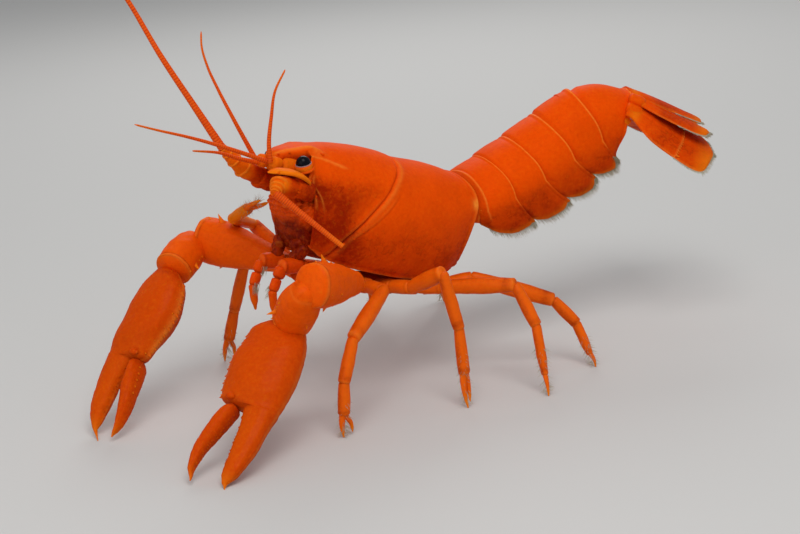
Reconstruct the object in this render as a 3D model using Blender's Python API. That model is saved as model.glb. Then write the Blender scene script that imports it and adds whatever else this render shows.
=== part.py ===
"""Life-size still model of an apricot-orange freshwater crayfish, standing with its tail raised.

All sizes are in millimetres until a mesh is written.  Two frames are used.
Floor frame: (ahead, left, up), with the origin on the floor under the rear top edge of the
carapace.  Body frame: (ahead, left, up) along the carapace, which is pitched head up, with its
origin at that same rear top edge.  The animal faces -X and its left side faces -Y.
"""

import math

import bmesh
import bpy
import numpy as np
from mathutils import Vector

MM = 0.001
GAP = 0.3

# Whole body
REAR_EDGE_HEIGHT = 35.5
BODY_PITCH = math.radians(18.0)

# Carapace, along its length from the rear edge to the rostrum tip
FRONT_EDGE = 34.6
GROOVE_AT_TOP = 14.2
SHELL_WALL = 0.9
REAR_RECESS = 2.2
STATIONS = (-2.0, 0.0, 4.0, 9.0, 14.2, 19.0, 24.0, 28.0, 31.0, 34.6)
TOP_HEIGHT = (-0.2, 0.0, 0.7, 1.2, 1.3, 2.1, 2.4, 2.3, 2.1, 1.7)
HALF_WIDTH = (8.3, 8.7, 9.6, 10.2, 10.3, 10.0, 9.2, 8.3, 7.4, 5.9)
WIDEST_HEIGHT = (-7.0, -7.2, -8.4, -9.2, -9.4, -9.2, -8.8, -8.4, -8.0, -7.0)
MARGIN_HEIGHT = (-15.2, -16.6, -18.8, -19.7, -19.8, -19.5, -19.0, -18.3, -17.4, -15.0)
MARGIN_HALF_WIDTH = (6.0, 6.4, 7.2, 7.8, 7.9, 7.6, 7.0, 6.2, 5.4, 4.2)

# Rostrum
ROSTRUM_STATIONS = (35.2, 37.4, 39.6, 41.1, 41.7)
ROSTRUM_HALF_WIDTH = (3.7, 2.9, 2.1, 1.2, 0.25)
ROSTRUM_TOP = (1.6, 0.9, 0.2, -0.6, -1.1)
ROSTRUM_DEPTH = (2.2, 1.9, 1.5, 1.0, 0.3)

# Small spines on the rostrum edge and behind the orbit: distance ahead, half distance apart, height
ROSTRUM_SPINES = ((40.3, 1.6, -0.5), (38.4, 2.4, 0.2), (36.4, 3.1, 0.8))
ORBIT_SPINES = ((33.2, 4.0, 0.6), (29.6, 5.2, 0.3))
SMALL_SPINE = (0.85, 0.4)

# Eyes: distance along the facing direction and radius of each ring of the dome and of the cup
EYE_CENTRE = (37.0, 4.7, -1.9)
EYE_FACING = (-0.05, 0.28, 0.96)
EYE_DOME = ((0.15, 1.32), (0.75, 1.26), (1.3, 0.98), (1.7, 0.5))
EYE_CUP = ((-0.15, 1.4), (-0.65, 1.25), (-1.05, 0.85))
STALK_ROOT = (35.4, 4.2, -2.7)
STALK_RADIUS = (0.7, 0.7)

# Mouth block: distance ahead, half width, top and bottom height
MOUTH_STATIONS = ((34.9, 5.2, -8.7, -15.7), (36.8, 4.6, -8.8, -15.4), (38.6, 3.3, -9.4, -13.3))

# Third maxilliped: joints and half sizes
MAXILLIPED_JOINTS = (
    (30.4, 2.2, -20.6), (33.0, 2.6, -19.6), (36.8, 3.0, -20.0), (38.2, 3.0, -24.2), (36.8, 2.8, -28.8))
MAXILLIPED_SIZES = ((1.2, 1.4), (1.4, 1.5), (1.2, 1.2), (0.9, 0.9), (0.35, 0.35))

# Sternum block that carries the leg roots
STERNUM_TOP = -20.2
STERNUM_BOTTOM = -23.2
STERNUM_STATIONS = (2.5, 8.0, 16.0, 24.0, 30.0)
STERNUM_HALF_TOP = (3.2, 3.9, 4.2, 4.6, 3.6)
STERNUM_HALF_BOTTOM = (1.2, 1.6, 1.8, 2.2, 1.6)

# Leg roots on the sternum, body frame: distance ahead of the rear edge
LEG_ROOT_AHEAD = {1: 26.5, 2: 21.2, 3: 15.9, 4: 10.6, 5: 5.4}
LEG_ROOT_HALF = 4.7
LEG_ROOT_HEIGHT = -21.8

# Walking legs: half sizes from the root to the knee, and from the knee to the ankle
UPPER_LEG_SIZES = ((1.6, 1.2), (1.45, 1.3), (1.3, 1.25), (1.35, 1.45), (1.2, 1.35), (1.0, 1.1))
LOWER_LEG_SIZES = ((1.0, 1.05), (1.05, 1.1), (0.95, 1.0), (0.85, 0.9), (0.62, 0.66), (0.28, 0.28))
ANKLE_SHARE = 0.72
ANKLE_LOWEST = 2.4
FOOT_FLAT = 0.22
PINCER_SPLIT = 0.55
PINCER_GAPE = {(2, "left"): 1.5, (3, "left"): 0.25, (2, "right"): 1.6, (3, "right"): 1.6}
PINCER_SIZES = ((1.0, 1.05), (1.05, 1.1), (0.95, 1.0), (0.9, 1.15), (0.85, 0.9), (0.55, 0.55), (0.24, 0.24))
PINCER_FINGER_SIZES = ((0.4, 0.4), (0.6, 0.5), (0.45, 0.42), (0.2, 0.2))

# Arm of the claw: half sizes of hip pieces, upper arm and carpus
ARM_ROOT_SIZES = ((2.0, 1.4), (2.0, 1.7), (2.0, 2.1))
UPPER_ARM_FRACTIONS = (0.22, 0.5, 0.78, 1.0)
UPPER_ARM_SIZES = ((2.3, 2.6), (3.0, 3.5), (3.2, 3.8), (2.9, 3.3))
CARPUS_FRACTIONS = (0.0, 0.25, 0.55, 0.85, 1.0)
CARPUS_SIZES = ((2.6, 2.9), (3.35, 3.5), (3.6, 3.6), (3.6, 3.5), (3.0, 2.9))
ARM_GIRTH = {"left": 1.0, "right": 1.1}
UPPER_ARM_TOP_SPINES = ((0.7, 3.55, 1.7, 0.6), (0.86, 3.2, 0.6, 0.35))
UPPER_ARM_LOW_SPINES = ((0.3, 2.4, 0.8, 0.4), (0.46, 2.9, 0.9, 0.4), (0.64, 3.3, 1.3, 0.5))
CARPUS_SPINES = ((0.66, 3.3, 1.9, 0.65), (0.46, 3.25, 0.8, 0.4), (0.9, 3.1, 0.9, 0.45))

# Claw
CLAW_FLAT = 0.35
PALM_TEETH = 9
PALM_TEETH_REACH = (2.6, 15.8)
PALM_TOOTH = (0.95, 0.5)
CLAW_STATIONS = (0.0, 1.6, 4.5, 9.0, 13.5, 17.0)
CLAW_OUTER = (-2.4, -3.5, -4.5, -5.0, -4.9, -4.6)
CLAW_INNER = (2.4, 4.2, 6.2, 7.2, 7.0, 6.2)
CLAW_HALF_THICK = (1.9, 2.5, 3.2, 3.6, 3.3, 2.8)
FINGER_STATIONS = (17.4, 21.0, 25.5, 29.5, 31.2)
FINGER_OUTER = (-4.5, -4.1, -3.4, -2.1, -0.9)
FINGER_INNER = (1.5, 0.8, 0.6, 0.5, 0.1)
FINGER_HALF_THICK = (2.4, 2.0, 1.6, 1.1, 0.45)
DACTYL_STATIONS = (17.75, 19.0, 22.5, 26.5, 29.5, 31.5)
DACTYL_INNER = (5.6, 6.6, 7.6, 8.0, 7.5, 6.4)
DACTYL_OUTER = (2.2, 2.5, 3.5, 4.9, 5.5, 5.8)
DACTYL_HALF_THICK = (2.2, 2.3, 2.0, 1.5, 1.0, 0.4)
CLAW_ROLL = {"left": 10.0, "right": 0.0}
INNER_SHARE = {"left": 1.0, "right": 0.81}
MOVING_FINGER_SHIFT = {"left": 0.0, "right": -1.25}
SHIFT_START = 16.5
SHIFT_REACH = 6.0
FINGER_SWEEP = {"left": 0.9, "right": -1.7}
SWEEP_START = 10.0

# Joints of the limbs in the floor frame: root side joint, knee, wrist, foot
LIMB_JOINTS = {
    ("cheliped", "left"): ((32.6, 12.4, 24.4), (46.6, 18.0, 28.5), (45.6, 10.0, 20.0), (68.7, 20.1, 0.0)),
    ("cheliped", "right"): (
        (33.6, -10.5, 25.0), (40.5, -24.5, 28.5), (49.5, -20.7, 24.6), (71.2, -15.9, 0.0)),
    ("leg_2", "left"): ((26.4, 12.0, 21.4), (37.8, 17.0, 16.7), (41.0, 17.5, 9.7), (42.2, 17.6, 0.0)),
    ("leg_3", "left"): ((20.6, 12.0, 20.2), (19.5, 20.0, 24.2), (18.3, 21.8, 14.0), (19.5, 24.1, 0.0)),
    ("leg_4", "left"): ((12.6, 10.4, 18.0), (5.5, 23.0, 18.9), (4.8, 27.0, 12.0), (6.6, 31.1, 0.0)),
    ("leg_5", "left"): ((5.0, 10.5, 17.9), (-6.2, 20.0, 12.4), (-8.8, 23.0, 7.8), (-9.1, 27.2, 0.0)),
    ("leg_2", "right"): ((28.0, -11.5, 21.4), (29.0, -23.0, 28.4), (38.0, -16.0, 32.8), (38.6, -5.6, 37.8)),
    ("leg_3", "right"): ((24.0, -11.5, 21.0), (31.6, -23.5, 21.5), (31.6, -29.0, 11.0), (32.6, -32.9, 0.0)),
    ("leg_4", "right"): ((13.0, -10.5, 18.6), (4.0, -22.0, 20.0), (0.0, -26.5, 13.0), (-3.0, -31.0, 0.0)),
    ("leg_5", "right"): ((6.0, -10.0, 17.6), (-7.0, -17.0, 15.5), (-12.0, -21.5, 9.5), (-18.0, -26.0, 0.0)),
}

# Antennae, body frame: root, bend and wrist of the peduncle, then the route of the whip
ANTENNA_JOINTS = {
    "left": ((35.4, 5.0, -6.5), (42.0, 5.5, -5.8), (43.6, 6.7, -7.2)),
    "right": ((35.4, -5.0, -6.5), (43.0, -4.4, -4.4), (48.0, -4.2, -1.4)),
}
PEDUNCLE_SIZES = ((1.7, 1.6), (1.8, 1.65), (1.65, 1.55), (1.1, 1.1))
WHIP_ROUTES = {
    "left": ((38.55, 10.6, -10.8), (33.5, 14.5, -14.4)),
    "right": (
        (53.6, -6.6, 5.2), (59.4, -10.0, 12.6), (64.6, -14.0, 20.6),
        (70.2, -19.0, 28.4), (77.0, -24.5, 34.6), (85.0, -30.0, 38.6)),
}
WHIP_RADII = {"left": (0.72, 0.62, 0.52), "right": (0.85, 0.72, 0.6, 0.5, 0.4, 0.3, 0.15)}

# Antennal scale: distance ahead, left and up of the middle, and half width, tipped outer side down
SCALE_STATIONS = (
    (36.4, 6.7, -4.55, 0.9), (38.4, 6.6, -4.0, 1.5), (40.6, 6.2, -3.4, 1.75),
    (42.6, 5.4, -3.1, 1.2), (44.2, 4.6, -2.9, 0.25))
RIGHT_SCALE_LEFT = 7.4
SCALE_TIP = math.radians(18.0)
SCALE_HALF_THICK = 0.35

# Antennules, body frame
ANTENNULE_JOINTS = ((35.5, 1.7, -2.9), (42.0, 1.9, -2.4))
ANTENNULE_SIZES = ((1.2, 1.1), (1.15, 1.0), (1.0, 0.9), (0.9, 0.8))
ANTENNULE_ROUTES = {
    ("left", "outer"): (
        (42.5, 2.35, -2.3), (43.1, 2.4, 0.1), (43.6, 2.4, 5.4), (43.8, 2.6, 9.6), (42.8, 3.2, 13.6)),
    ("left", "inner"): (
        (42.5, 1.4, -2.4), (46.8, 1.2, -1.6), (51.3, 1.0, -0.9),
        (58.9, 0.8, 0.0), (64.9, 0.6, 0.45), (69.0, 0.4, 0.85)),
    ("right", "outer"): (
        (42.5, -2.35, -2.2), (47.5, -3.0, 3.9), (50.8, -4.0, 8.4),
        (53.2, -4.6, 11.9), (54.8, -5.0, 15.3), (55.2, -5.2, 17.7)),
    ("right", "inner"): ((42.5, -1.4, -2.9), (46.6, -1.5, -2.6), (50.2, -1.1, -2.1), (56.2, -1.0, -2.3)),
}
ANTENNULE_WHIP_RADII = (0.42, 0.16)

# Abdomen, along the line of its side hinges
HINGE_START = (-4.2, -6.2)
SEGMENT_LENGTH = (7.2, 7.4, 7.4, 7.1, 7.2)
SEGMENT_PITCH = (31.5, 38.5, 43.0, 41.0, 29.0)
SEGMENT_YAW = (10.0, 13.0, 16.0, 19.0, 23.0)
JOINT_HALF_WIDTH = (7.6, 8.4, 8.3, 8.0, 7.5, 6.0)
JOINT_DORSAL = (5.9, 6.8, 7.3, 7.8, 9.0, 7.2)
JOINT_LEAN = (0.05, 0.14, 0.18, 0.2, 0.2, 0.1)
PLEURA_SWEEP = 0.4
PLEURA_DEPTH = (8.1, 8.0, 7.8, 6.6, 4.8)
PLEURA_WALL = 1.1
BELLY_HEIGHT = -2.4
ARCH_POINTS = 15
FIRST_SEGMENT_LENGTH = 2.6
FIRST_SEGMENT_SIZE = (6.9, 4.9, 3.2)
SEGMENT_FRACTIONS = (0.0, 0.36, 0.64, 1.0)
LOBE_START = 0.9
LOBE_SWELL = 0.98
TERGITE_BULGE = 0.25
TELSON_PITCH = -12.0
TELSON_YAW = 26.0
SEGMENT_GAP = 0.4

# Swimmerets under segments two to five: side distance, then back and up of each ring, and half sizes
SWIMMERET_SIDE = 4.3
SWIMMERET_PATH = ((0.0, -1.8), (0.4, -3.8), (2.1, -5.9), (3.4, -7.4))
SWIMMERET_SIZES = ((0.5, 0.5), (0.75, 0.4), (1.0, 0.35), (0.4, 0.25))

# Tail fan: length, half widths and thicknesses at the plate stations, and each plate's place
PLATE_STATIONS = (0.0, 0.3, 0.6, 0.82, 0.94, 1.0)
PLATE_COLUMNS = 5
TELSON_HALF = (3.4, 4.2, 4.0, 3.6, 2.9, 1.8)
TELSON_THICKNESS = (2.0, 1.5, 1.1, 0.9, 0.8, 0.7)
TELSON_LENGTH = 15.9
TELSON_UP = 5.4
FAN_THICKNESS = (1.3, 1.0, 0.8, 0.7, 0.65, 0.6)
FAN_HALF = {"endopod": (1.1, 2.3, 2.9, 2.8, 2.2, 1.2), "exopod": (1.9, 4.3, 5.3, 5.0, 4.1, 2.3)}
FAN_LENGTH = {"endopod": 15.2, "exopod": 17.3}
FAN_SPLAY = {"endopod": 10.0, "exopod": 12.0}
FAN_OUT = {"endopod": 5.1, "exopod": 5.4}
FAN_UP = {"endopod": 4.2, "exopod": 2.3}
FAN_OUTER_SHARE = {"endopod": 0.6, "exopod": 0.78}
FAN_DROOP = {
    ("endopod", "left"): 25.0, ("endopod", "right"): -4.0,
    ("exopod", "left"): 50.0, ("exopod", "right"): -2.0,
}
FAN_START = 0.75


def unit(v):
    """Vector of length one."""
    v = np.asarray(v, float)
    return v / np.linalg.norm(v)


def floor_point(ahead, left, up):
    """Row coordinates of a point given in the floor frame."""
    return np.array([-ahead, -left, up], float)


BODY_AHEAD = np.array([-math.cos(BODY_PITCH), 0.0, math.sin(BODY_PITCH)])
BODY_LEFT = np.array([0.0, -1.0, 0.0])
BODY_UP = np.array([math.sin(BODY_PITCH), 0.0, math.cos(BODY_PITCH)])
BODY_ORIGIN = np.array([0.0, 0.0, REAR_EDGE_HEIGHT])
STRAIGHT_UP = np.array([0.0, 0.0, 1.0])


def body_point(ahead, left, up):
    """Row coordinates of a point given in the body frame."""
    return BODY_ORIGIN + ahead * BODY_AHEAD + left * BODY_LEFT + up * BODY_UP


def body_direction(ahead, left, up):
    """Row direction of a direction given in the body frame."""
    return unit(ahead * BODY_AHEAD + left * BODY_LEFT + up * BODY_UP)


def mirrored(point, side):
    """A body-frame point of the left side, moved to the given side."""
    ahead, left, up = point
    return (ahead, left if side == "left" else -left, up)


def smooth(stations, values, at):
    """Values between stations, on a monotone cubic through them."""
    x = np.asarray(stations, float)
    y = np.asarray(values, float)
    slope = np.diff(y) / np.diff(x)
    product = slope[1:] * slope[:-1]
    inner = np.where(product > 0, 2 * product / (slope[1:] + slope[:-1] + 1e-12), 0.0)
    tangent = np.concatenate([[slope[0]], inner, [slope[-1]]])
    at = np.clip(np.asarray(at, float), x[0], x[-1])
    k = np.clip(np.searchsorted(x, at, side="right") - 1, 0, len(x) - 2)
    step = x[k + 1] - x[k]
    t = (at - x[k]) / step
    h00 = 2 * t**3 - 3 * t**2 + 1
    h10 = t**3 - 2 * t**2 + t
    h01 = -2 * t**3 + 3 * t**2
    h11 = t**3 - t**2
    return h00 * y[k] + h10 * step * tangent[k] + h01 * y[k + 1] + h11 * step * tangent[k + 1]


def clear_scene():
    """Removes whatever the scene holds."""
    for item in list(bpy.data.objects):
        bpy.data.objects.remove(item, do_unlink=True)


def finish(name, colour, roughness=0.4, metallic=0.0):
    """A Principled material with the part's colour."""
    material = bpy.data.materials.get(name) or bpy.data.materials.new(name)
    material.use_nodes = True
    shader = material.node_tree.nodes["Principled BSDF"]
    shader.inputs["Base Color"].default_value = (*colour, 1.0)
    shader.inputs["Roughness"].default_value = roughness
    shader.inputs["Metallic"].default_value = metallic
    return material


def shell_material():
    """Shell of the body."""
    return finish("shell_orange", (0.78, 0.09, 0.012), 0.38)


def claw_material():
    """Shell of the claws and their arms."""
    return finish("claw_orange", (0.83, 0.16, 0.012), 0.36)


def leg_material():
    """Shell of the walking legs and maxillipeds."""
    return finish("leg_orange", (0.75, 0.17, 0.02), 0.42)


def feeler_material():
    """Skin of the feelers and antennal scales."""
    return finish("feeler_orange", (0.72, 0.12, 0.02), 0.45)


def eye_material():
    """Cornea."""
    return finish("eye_black", (0.01, 0.01, 0.012), 0.08)


def mesh_object(name, bm, material):
    """Turns a bmesh in millimetres into one named object in metres."""
    bmesh.ops.recalc_face_normals(bm, faces=bm.faces)
    bmesh.ops.scale(bm, vec=Vector((MM, MM, MM)), verts=bm.verts)
    mesh = bpy.data.meshes.new(name)
    bm.to_mesh(mesh)
    bm.free()
    mesh.materials.append(material)
    mesh.shade_smooth()
    mesh.set_sharp_from_angle(angle=math.radians(35.0))
    item = bpy.data.objects.new(name, mesh)
    bpy.context.scene.collection.objects.link(item)
    return item


def loft(rings, caps=None):
    """Closed skin through rings of equal point count, each end one face or the given faces."""
    bm = bmesh.new()
    loops = [[bm.verts.new(Vector(p)) for p in ring] for ring in rings]
    count = len(loops[0])
    for first, second in zip(loops, loops[1:]):
        for i in range(count):
            j = (i + 1) % count
            bm.faces.new((first[i], first[j], second[j], second[i]))
    for cap in caps or [range(count)]:
        bm.faces.new([loops[0][i] for i in cap])
        bm.faces.new([loops[-1][i] for i in cap])
    return bm


def oval(centre, side, up, half_wide, half_high, count, squareness=2.0):
    """Ring of points on a superellipse."""
    angle = np.arange(count) * 2 * math.pi / count
    c = np.cos(angle)
    s = np.sin(angle)
    power = 2.0 / squareness
    x = np.sign(c) * np.abs(c) ** power * half_wide
    y = np.sign(s) * np.abs(s) ** power * half_high
    return np.asarray(centre) + x[:, None] * side + y[:, None] * up


def slide_to_plane(ring, direction, plane):
    """Moves ring points along a direction onto a plane given as (point, normal)."""
    point, normal = plane
    shift = ((point - ring) @ normal) / (direction @ normal)
    return ring + shift[:, None] * direction


def tube_rings(path, sizes, reference, count, start_plane=None, end_plane=None, squareness=2.0):
    """Rings along a path; each size is (half width, half height), height along the reference."""
    path = [np.asarray(p, float) for p in path]
    rings = []
    last = len(path) - 1
    for k, (point, size) in enumerate(zip(path, sizes)):
        before = path[max(k - 1, 0)]
        after = path[min(k + 1, last)]
        if 0 < k < last:
            direction = unit(unit(point - before) + unit(after - point))
        else:
            direction = unit(after - before)
        side = unit(np.cross(direction, reference))
        up = np.cross(side, direction)
        ring = oval(point, side, up, size[0], size[1], count, squareness)
        if k == 0 and start_plane is not None:
            ring = slide_to_plane(ring, direction, start_plane)
        if k == last and end_plane is not None:
            ring = slide_to_plane(ring, direction, end_plane)
        rings.append(ring)
    return rings


def straight_rings(start, end, fractions, sections, start_plane, end_plane):
    """Rings on a straight stretch between two slanted planes, sheared evenly from one to the other.

    Each section is a function of a centre that returns ring points square to the stretch.
    """
    direction = unit(end - start)
    rings = []
    for fraction, section in zip(fractions, sections):
        ring = section(start)
        first = ((start_plane[0] - ring) @ start_plane[1]) / (direction @ start_plane[1])
        final = ((end_plane[0] - ring) @ end_plane[1]) / (direction @ end_plane[1])
        along = first + (final - first) * fraction
        rings.append(ring + along[:, None] * direction)
    return rings


def oval_section(direction, reference, size, count, squareness=2.0):
    """Section function for an oval whose height lies along the reference."""
    side = unit(np.cross(direction, reference))
    up = np.cross(side, direction)
    return lambda centre: oval(centre, side, up, size[0], size[1], count, squareness)


def joint_plane(before, joint, after, offset):
    """Mitre plane between two limb pieces, moved by the offset along the limb."""
    normal = unit(unit(joint - before) + unit(after - joint))
    return joint + offset * normal, normal


def spread(start, end, fractions):
    """Points at the given fractions of a straight line."""
    start = np.asarray(start, float)
    end = np.asarray(end, float)
    return [start + (end - start) * t for t in fractions]


def spine(root, direction, length, radius, sides=5):
    """Closed cone that stands on a skin, its foot sunk by half the radius."""
    direction = unit(direction)
    helper = BODY_AHEAD if abs(direction @ BODY_AHEAD) < 0.8 else BODY_UP
    side = unit(np.cross(direction, helper))
    foot = oval(root - direction * radius / 2, side, np.cross(side, direction), radius, radius, sides)
    bm = bmesh.new()
    ring = [bm.verts.new(Vector(p)) for p in foot]
    tip = bm.verts.new(Vector(root + direction * length))
    bm.faces.new(ring)
    for first, second in zip(ring, ring[1:] + ring[:1]):
        bm.faces.new((first, second, tip))
    return bm


def half_section(ahead, share):
    """Carapace section: side distance and height at a share of the way from the top to the margin."""
    top = smooth(STATIONS, TOP_HEIGHT, ahead)
    half = smooth(STATIONS, HALF_WIDTH, ahead)
    widest = smooth(STATIONS, WIDEST_HEIGHT, ahead)
    margin = smooth(STATIONS, MARGIN_HEIGHT, ahead)
    margin_half = smooth(STATIONS, MARGIN_HALF_WIDTH, ahead)
    upper = np.clip(share / 0.58, 0.0, 1.0) * math.pi / 2
    lower = np.clip((share - 0.58) / 0.42, 0.0, 1.0) * math.radians(70.0)
    fall = (1 - np.cos(lower)) / (1 - math.cos(math.radians(70.0)))
    sink = np.sin(lower) / math.sin(math.radians(70.0))
    left = half * np.sin(upper) - (half - margin_half) * fall
    height = widest + (top - widest) * np.cos(upper) - (widest - margin) * sink
    return left, height


def groove_ahead(share):
    """Where the cervical groove runs at each share of the section."""
    return smooth((0.0, 0.2, 0.4, 0.6, 0.8, 1.0), (GROOVE_AT_TOP, 15.2, 18.5, 23.0, 27.5, 30.0), share)


def rear_edge(share):
    """Rear edge of the carapace, which bulges back at mid height."""
    return -1.8 * np.sin(np.clip(share * 1.15, 0, 1) * math.pi) ** 1.5


def front_edge(share):
    """Front edge of the carapace, which falls back below the orbit."""
    return FRONT_EDGE - 3.6 * np.clip(share - 0.35, 0, 1) ** 1.2


def carapace_ring(part, along, shares, inset=0.0):
    """Ring of the carapace; part is 'rear' or 'front' of the cervical groove."""
    groove = groove_ahead(shares)
    if part == "rear":
        ahead = rear_edge(shares) + along * (groove - rear_edge(shares))
    else:
        ahead = groove + along * (front_edge(shares) - groove)
    left, height = half_section(ahead, shares)
    pinch = 0.97 if (part == "front" and along == 0.0) else 1.0
    left = (left - inset * np.sin(shares * math.pi / 2) ** 0.5) * pinch
    height = height - inset * np.cos(np.clip(shares / 0.58, 0, 1.6) * math.pi / 2)
    right_half = [body_point(a, -s, h) for a, s, h in zip(ahead[::-1], left[::-1], height[::-1])]
    left_half = [body_point(a, s, h) for a, s, h in zip(ahead[1:], left[1:], height[1:])]
    ring = right_half + left_half
    low_left = np.array(ring[-1])
    low_right = np.array(ring[0])
    ring += spread(low_left, low_right, (0.33, 0.67))
    return np.array(ring)


def build_carapace():
    """Carapace with its rostrum as one skin, hollowed a little at the rear, and its small spines."""
    shares = np.linspace(0.0, 1.0, 10)
    rings = []
    recess = carapace_ring("rear", 0.0, shares, SHELL_WALL)
    recess_deep = recess + REAR_RECESS * BODY_AHEAD
    rings.append(recess_deep)
    rings.append(recess)
    for along in (0.0, 0.25, 0.5, 0.75, 0.94):
        rings.append(carapace_ring("rear", along, shares))
    for along in (0.0, 0.07, 0.3, 0.55, 0.8, 1.0):
        rings.append(carapace_ring("front", along, shares))
    count = len(rings[0])
    for ahead, half, top, depth in zip(ROSTRUM_STATIONS, ROSTRUM_HALF_WIDTH, ROSTRUM_TOP, ROSTRUM_DEPTH):
        rings.append(rostrum_ring(ahead, half, top, depth, count))
    shell = mesh_object("carapace", loft(rings), shell_material())
    points = []
    for ahead, half, height in ROSTRUM_SPINES + ORBIT_SPINES:
        for sign in (1.0, -1.0):
            root = body_point(ahead, sign * half, height)
            points.append(spine(root, BODY_AHEAD + 0.35 * sign * BODY_LEFT + 0.35 * BODY_UP, *SMALL_SPINE))
    fuse(shell, points, "MANIFOLD")


def rostrum_ring(ahead, half, top, depth, count):
    """Section of the rostrum: gently domed above, flat below."""
    upper = count - 2
    left = np.linspace(-half, half, upper)
    height = top - depth * 0.75 * np.abs(left / half) ** 2.4
    points = [body_point(ahead, s, h) for s, h in zip(left, height)]
    points += [body_point(ahead, s, top - depth) for s in (half * 0.5, -half * 0.5)]
    return np.array(points)


def build_sternum():
    """Keel between the legs that carries their roots."""
    rings = []
    for ahead, top, bottom in zip(STERNUM_STATIONS, STERNUM_HALF_TOP, STERNUM_HALF_BOTTOM):
        outline = (
            (-top, STERNUM_TOP), (top, STERNUM_TOP), (top, STERNUM_TOP - 1.9),
            (bottom, STERNUM_BOTTOM), (-bottom, STERNUM_BOTTOM), (-top, STERNUM_TOP - 1.9),
        )
        rings.append(np.array([body_point(ahead, s, h) for s, h in outline]))
    return mesh_object("sternum", loft(rings), shell_material())


def build_mouthparts():
    """Block of epistome, mandibles and inner mouthparts in front of the carapace."""
    rings = []
    for ahead, half, top, bottom in MOUTH_STATIONS:
        centre = body_point(ahead, 0.0, (top + bottom) / 2)
        rings.append(oval(centre, BODY_LEFT, BODY_UP, half, (top - bottom) / 2, 12, 2.6))
    mesh_object("mouthparts", loft(rings), shell_material())


def build_eye(side):
    """Eyestalk with its cup, and the dark cornea as a dome on it."""
    centre = body_point(*mirrored(EYE_CENTRE, side))
    facing = body_direction(*mirrored(EYE_FACING, side))
    across = unit(np.cross(facing, BODY_AHEAD))
    along = np.cross(across, facing)
    dome = [oval(centre + facing * h, along, across, r, r, 10) for h, r in EYE_DOME]
    mesh_object(f"eye_{side}", loft(dome), eye_material())
    cup = [oval(centre + facing * h, along, across, r, r, 10) for h, r in EYE_CUP]
    ball = mesh_object(f"eyestalk_{side}", loft(cup), shell_material())
    root = body_point(*mirrored(STALK_ROOT, side))
    sizes = [(r, r) for r in STALK_RADIUS]
    fuse(ball, [loft(tube_rings([root, centre - facing * 0.75], sizes, BODY_UP, 8))])


def fuse(item, pieces, solver="EXACT"):
    """Joins closed bmesh pieces to a node by one union, and keeps its largest closed surface."""
    group = bpy.data.collections.new(item.name + "_pieces")
    bpy.context.scene.collection.children.link(group)
    helpers = []
    for k, bm in enumerate(pieces):
        helper = mesh_object(f"{item.name}_piece_{k}", bm, item.data.materials[0])
        bpy.context.scene.collection.objects.unlink(helper)
        group.objects.link(helper)
        helpers.append(helper)
    join = item.modifiers.new("join", "BOOLEAN")
    join.operation = "UNION"
    join.operand_type = "COLLECTION"
    join.collection = group
    join.solver = solver
    bpy.context.view_layer.update()
    joined = bpy.data.meshes.new_from_object(item.evaluated_get(bpy.context.evaluated_depsgraph_get()))
    item.modifiers.remove(join)
    item.data = joined
    for helper in helpers:
        bpy.data.objects.remove(helper, do_unlink=True)
    bpy.data.collections.remove(group)
    keep_largest(item)


def keep_largest(item):
    """Deletes every closed surface of a node but the largest."""
    bm = bmesh.new()
    bm.from_mesh(item.data)
    left = set(bm.verts)
    islands = []
    while left:
        seed = left.pop()
        island = {seed}
        front = [seed]
        while front:
            vert = front.pop()
            for edge in vert.link_edges:
                other = edge.other_vert(vert)
                if other in left:
                    left.discard(other)
                    island.add(other)
                    front.append(other)
        islands.append(island)
    islands.sort(key=len, reverse=True)
    for island in islands[1:]:
        bmesh.ops.delete(bm, geom=list(island), context="VERTS")
    bm.to_mesh(item.data)
    bm.free()


def build_antenna(side):
    """Peduncle, whip and scale of one antenna."""
    root, bend, wrist = [body_point(*p) for p in ANTENNA_JOINTS[side]]
    route = [body_point(*p) for p in WHIP_ROUTES[side]]
    start = (body_point(ANTENNA_JOINTS[side][0][0], 0, 0), BODY_AHEAD)
    end = joint_plane(bend, wrist, route[0], -GAP / 2)
    peduncle = tube_rings([root, (root + bend) / 2, bend, wrist], PEDUNCLE_SIZES, BODY_UP, 10, start, end)
    mesh_object(f"antenna_peduncle_{side}", loft(peduncle), shell_material())
    start = joint_plane(bend, wrist, route[0], GAP / 2)
    sizes = [(r, r) for r in WHIP_RADII[side]]
    whip = tube_rings([wrist] + route, sizes, BODY_UP, 8, start)
    mesh_object(f"antenna_flagellum_{side}", loft(whip), feeler_material())
    build_scale(side)


def build_scale(side):
    """Antennal scale: a flat blade, its outer side tipped down, that ends in a point."""
    sign = 1.0 if side == "left" else -1.0
    wide = math.cos(SCALE_TIP) * sign * BODY_LEFT - math.sin(SCALE_TIP) * BODY_UP
    thick = math.cos(SCALE_TIP) * BODY_UP + math.sin(SCALE_TIP) * sign * BODY_LEFT
    rings = []
    for ahead, left, height, half in SCALE_STATIONS:
        out = left if side == "left" else RIGHT_SCALE_LEFT
        centre = body_point(ahead, sign * out, height)
        rings.append(oval(centre, wide, thick, half, SCALE_HALF_THICK, 8))
    mesh_object(f"antenna_scale_{side}", loft(rings), feeler_material())


def build_antennule(side):
    """Peduncle and the two whips of one antennule."""
    base, end = [body_point(*mirrored(p, side)) for p in ANTENNULE_JOINTS]
    peduncle = tube_rings(spread(base, end, (0.0, 0.4, 0.7, 1.0)), ANTENNULE_SIZES, BODY_UP, 8)
    mesh_object(f"antennule_peduncle_{side}", loft(peduncle), shell_material())
    for place in ("outer", "inner"):
        path = [body_point(*p) for p in ANTENNULE_ROUTES[(side, place)]]
        sizes = [(r, r) for r in np.linspace(*ANTENNULE_WHIP_RADII, len(path))]
        name = f"antennule_{place}_flagellum_{side}"
        mesh_object(name, loft(tube_rings(path, sizes, BODY_UP, 6)), feeler_material())


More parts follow.
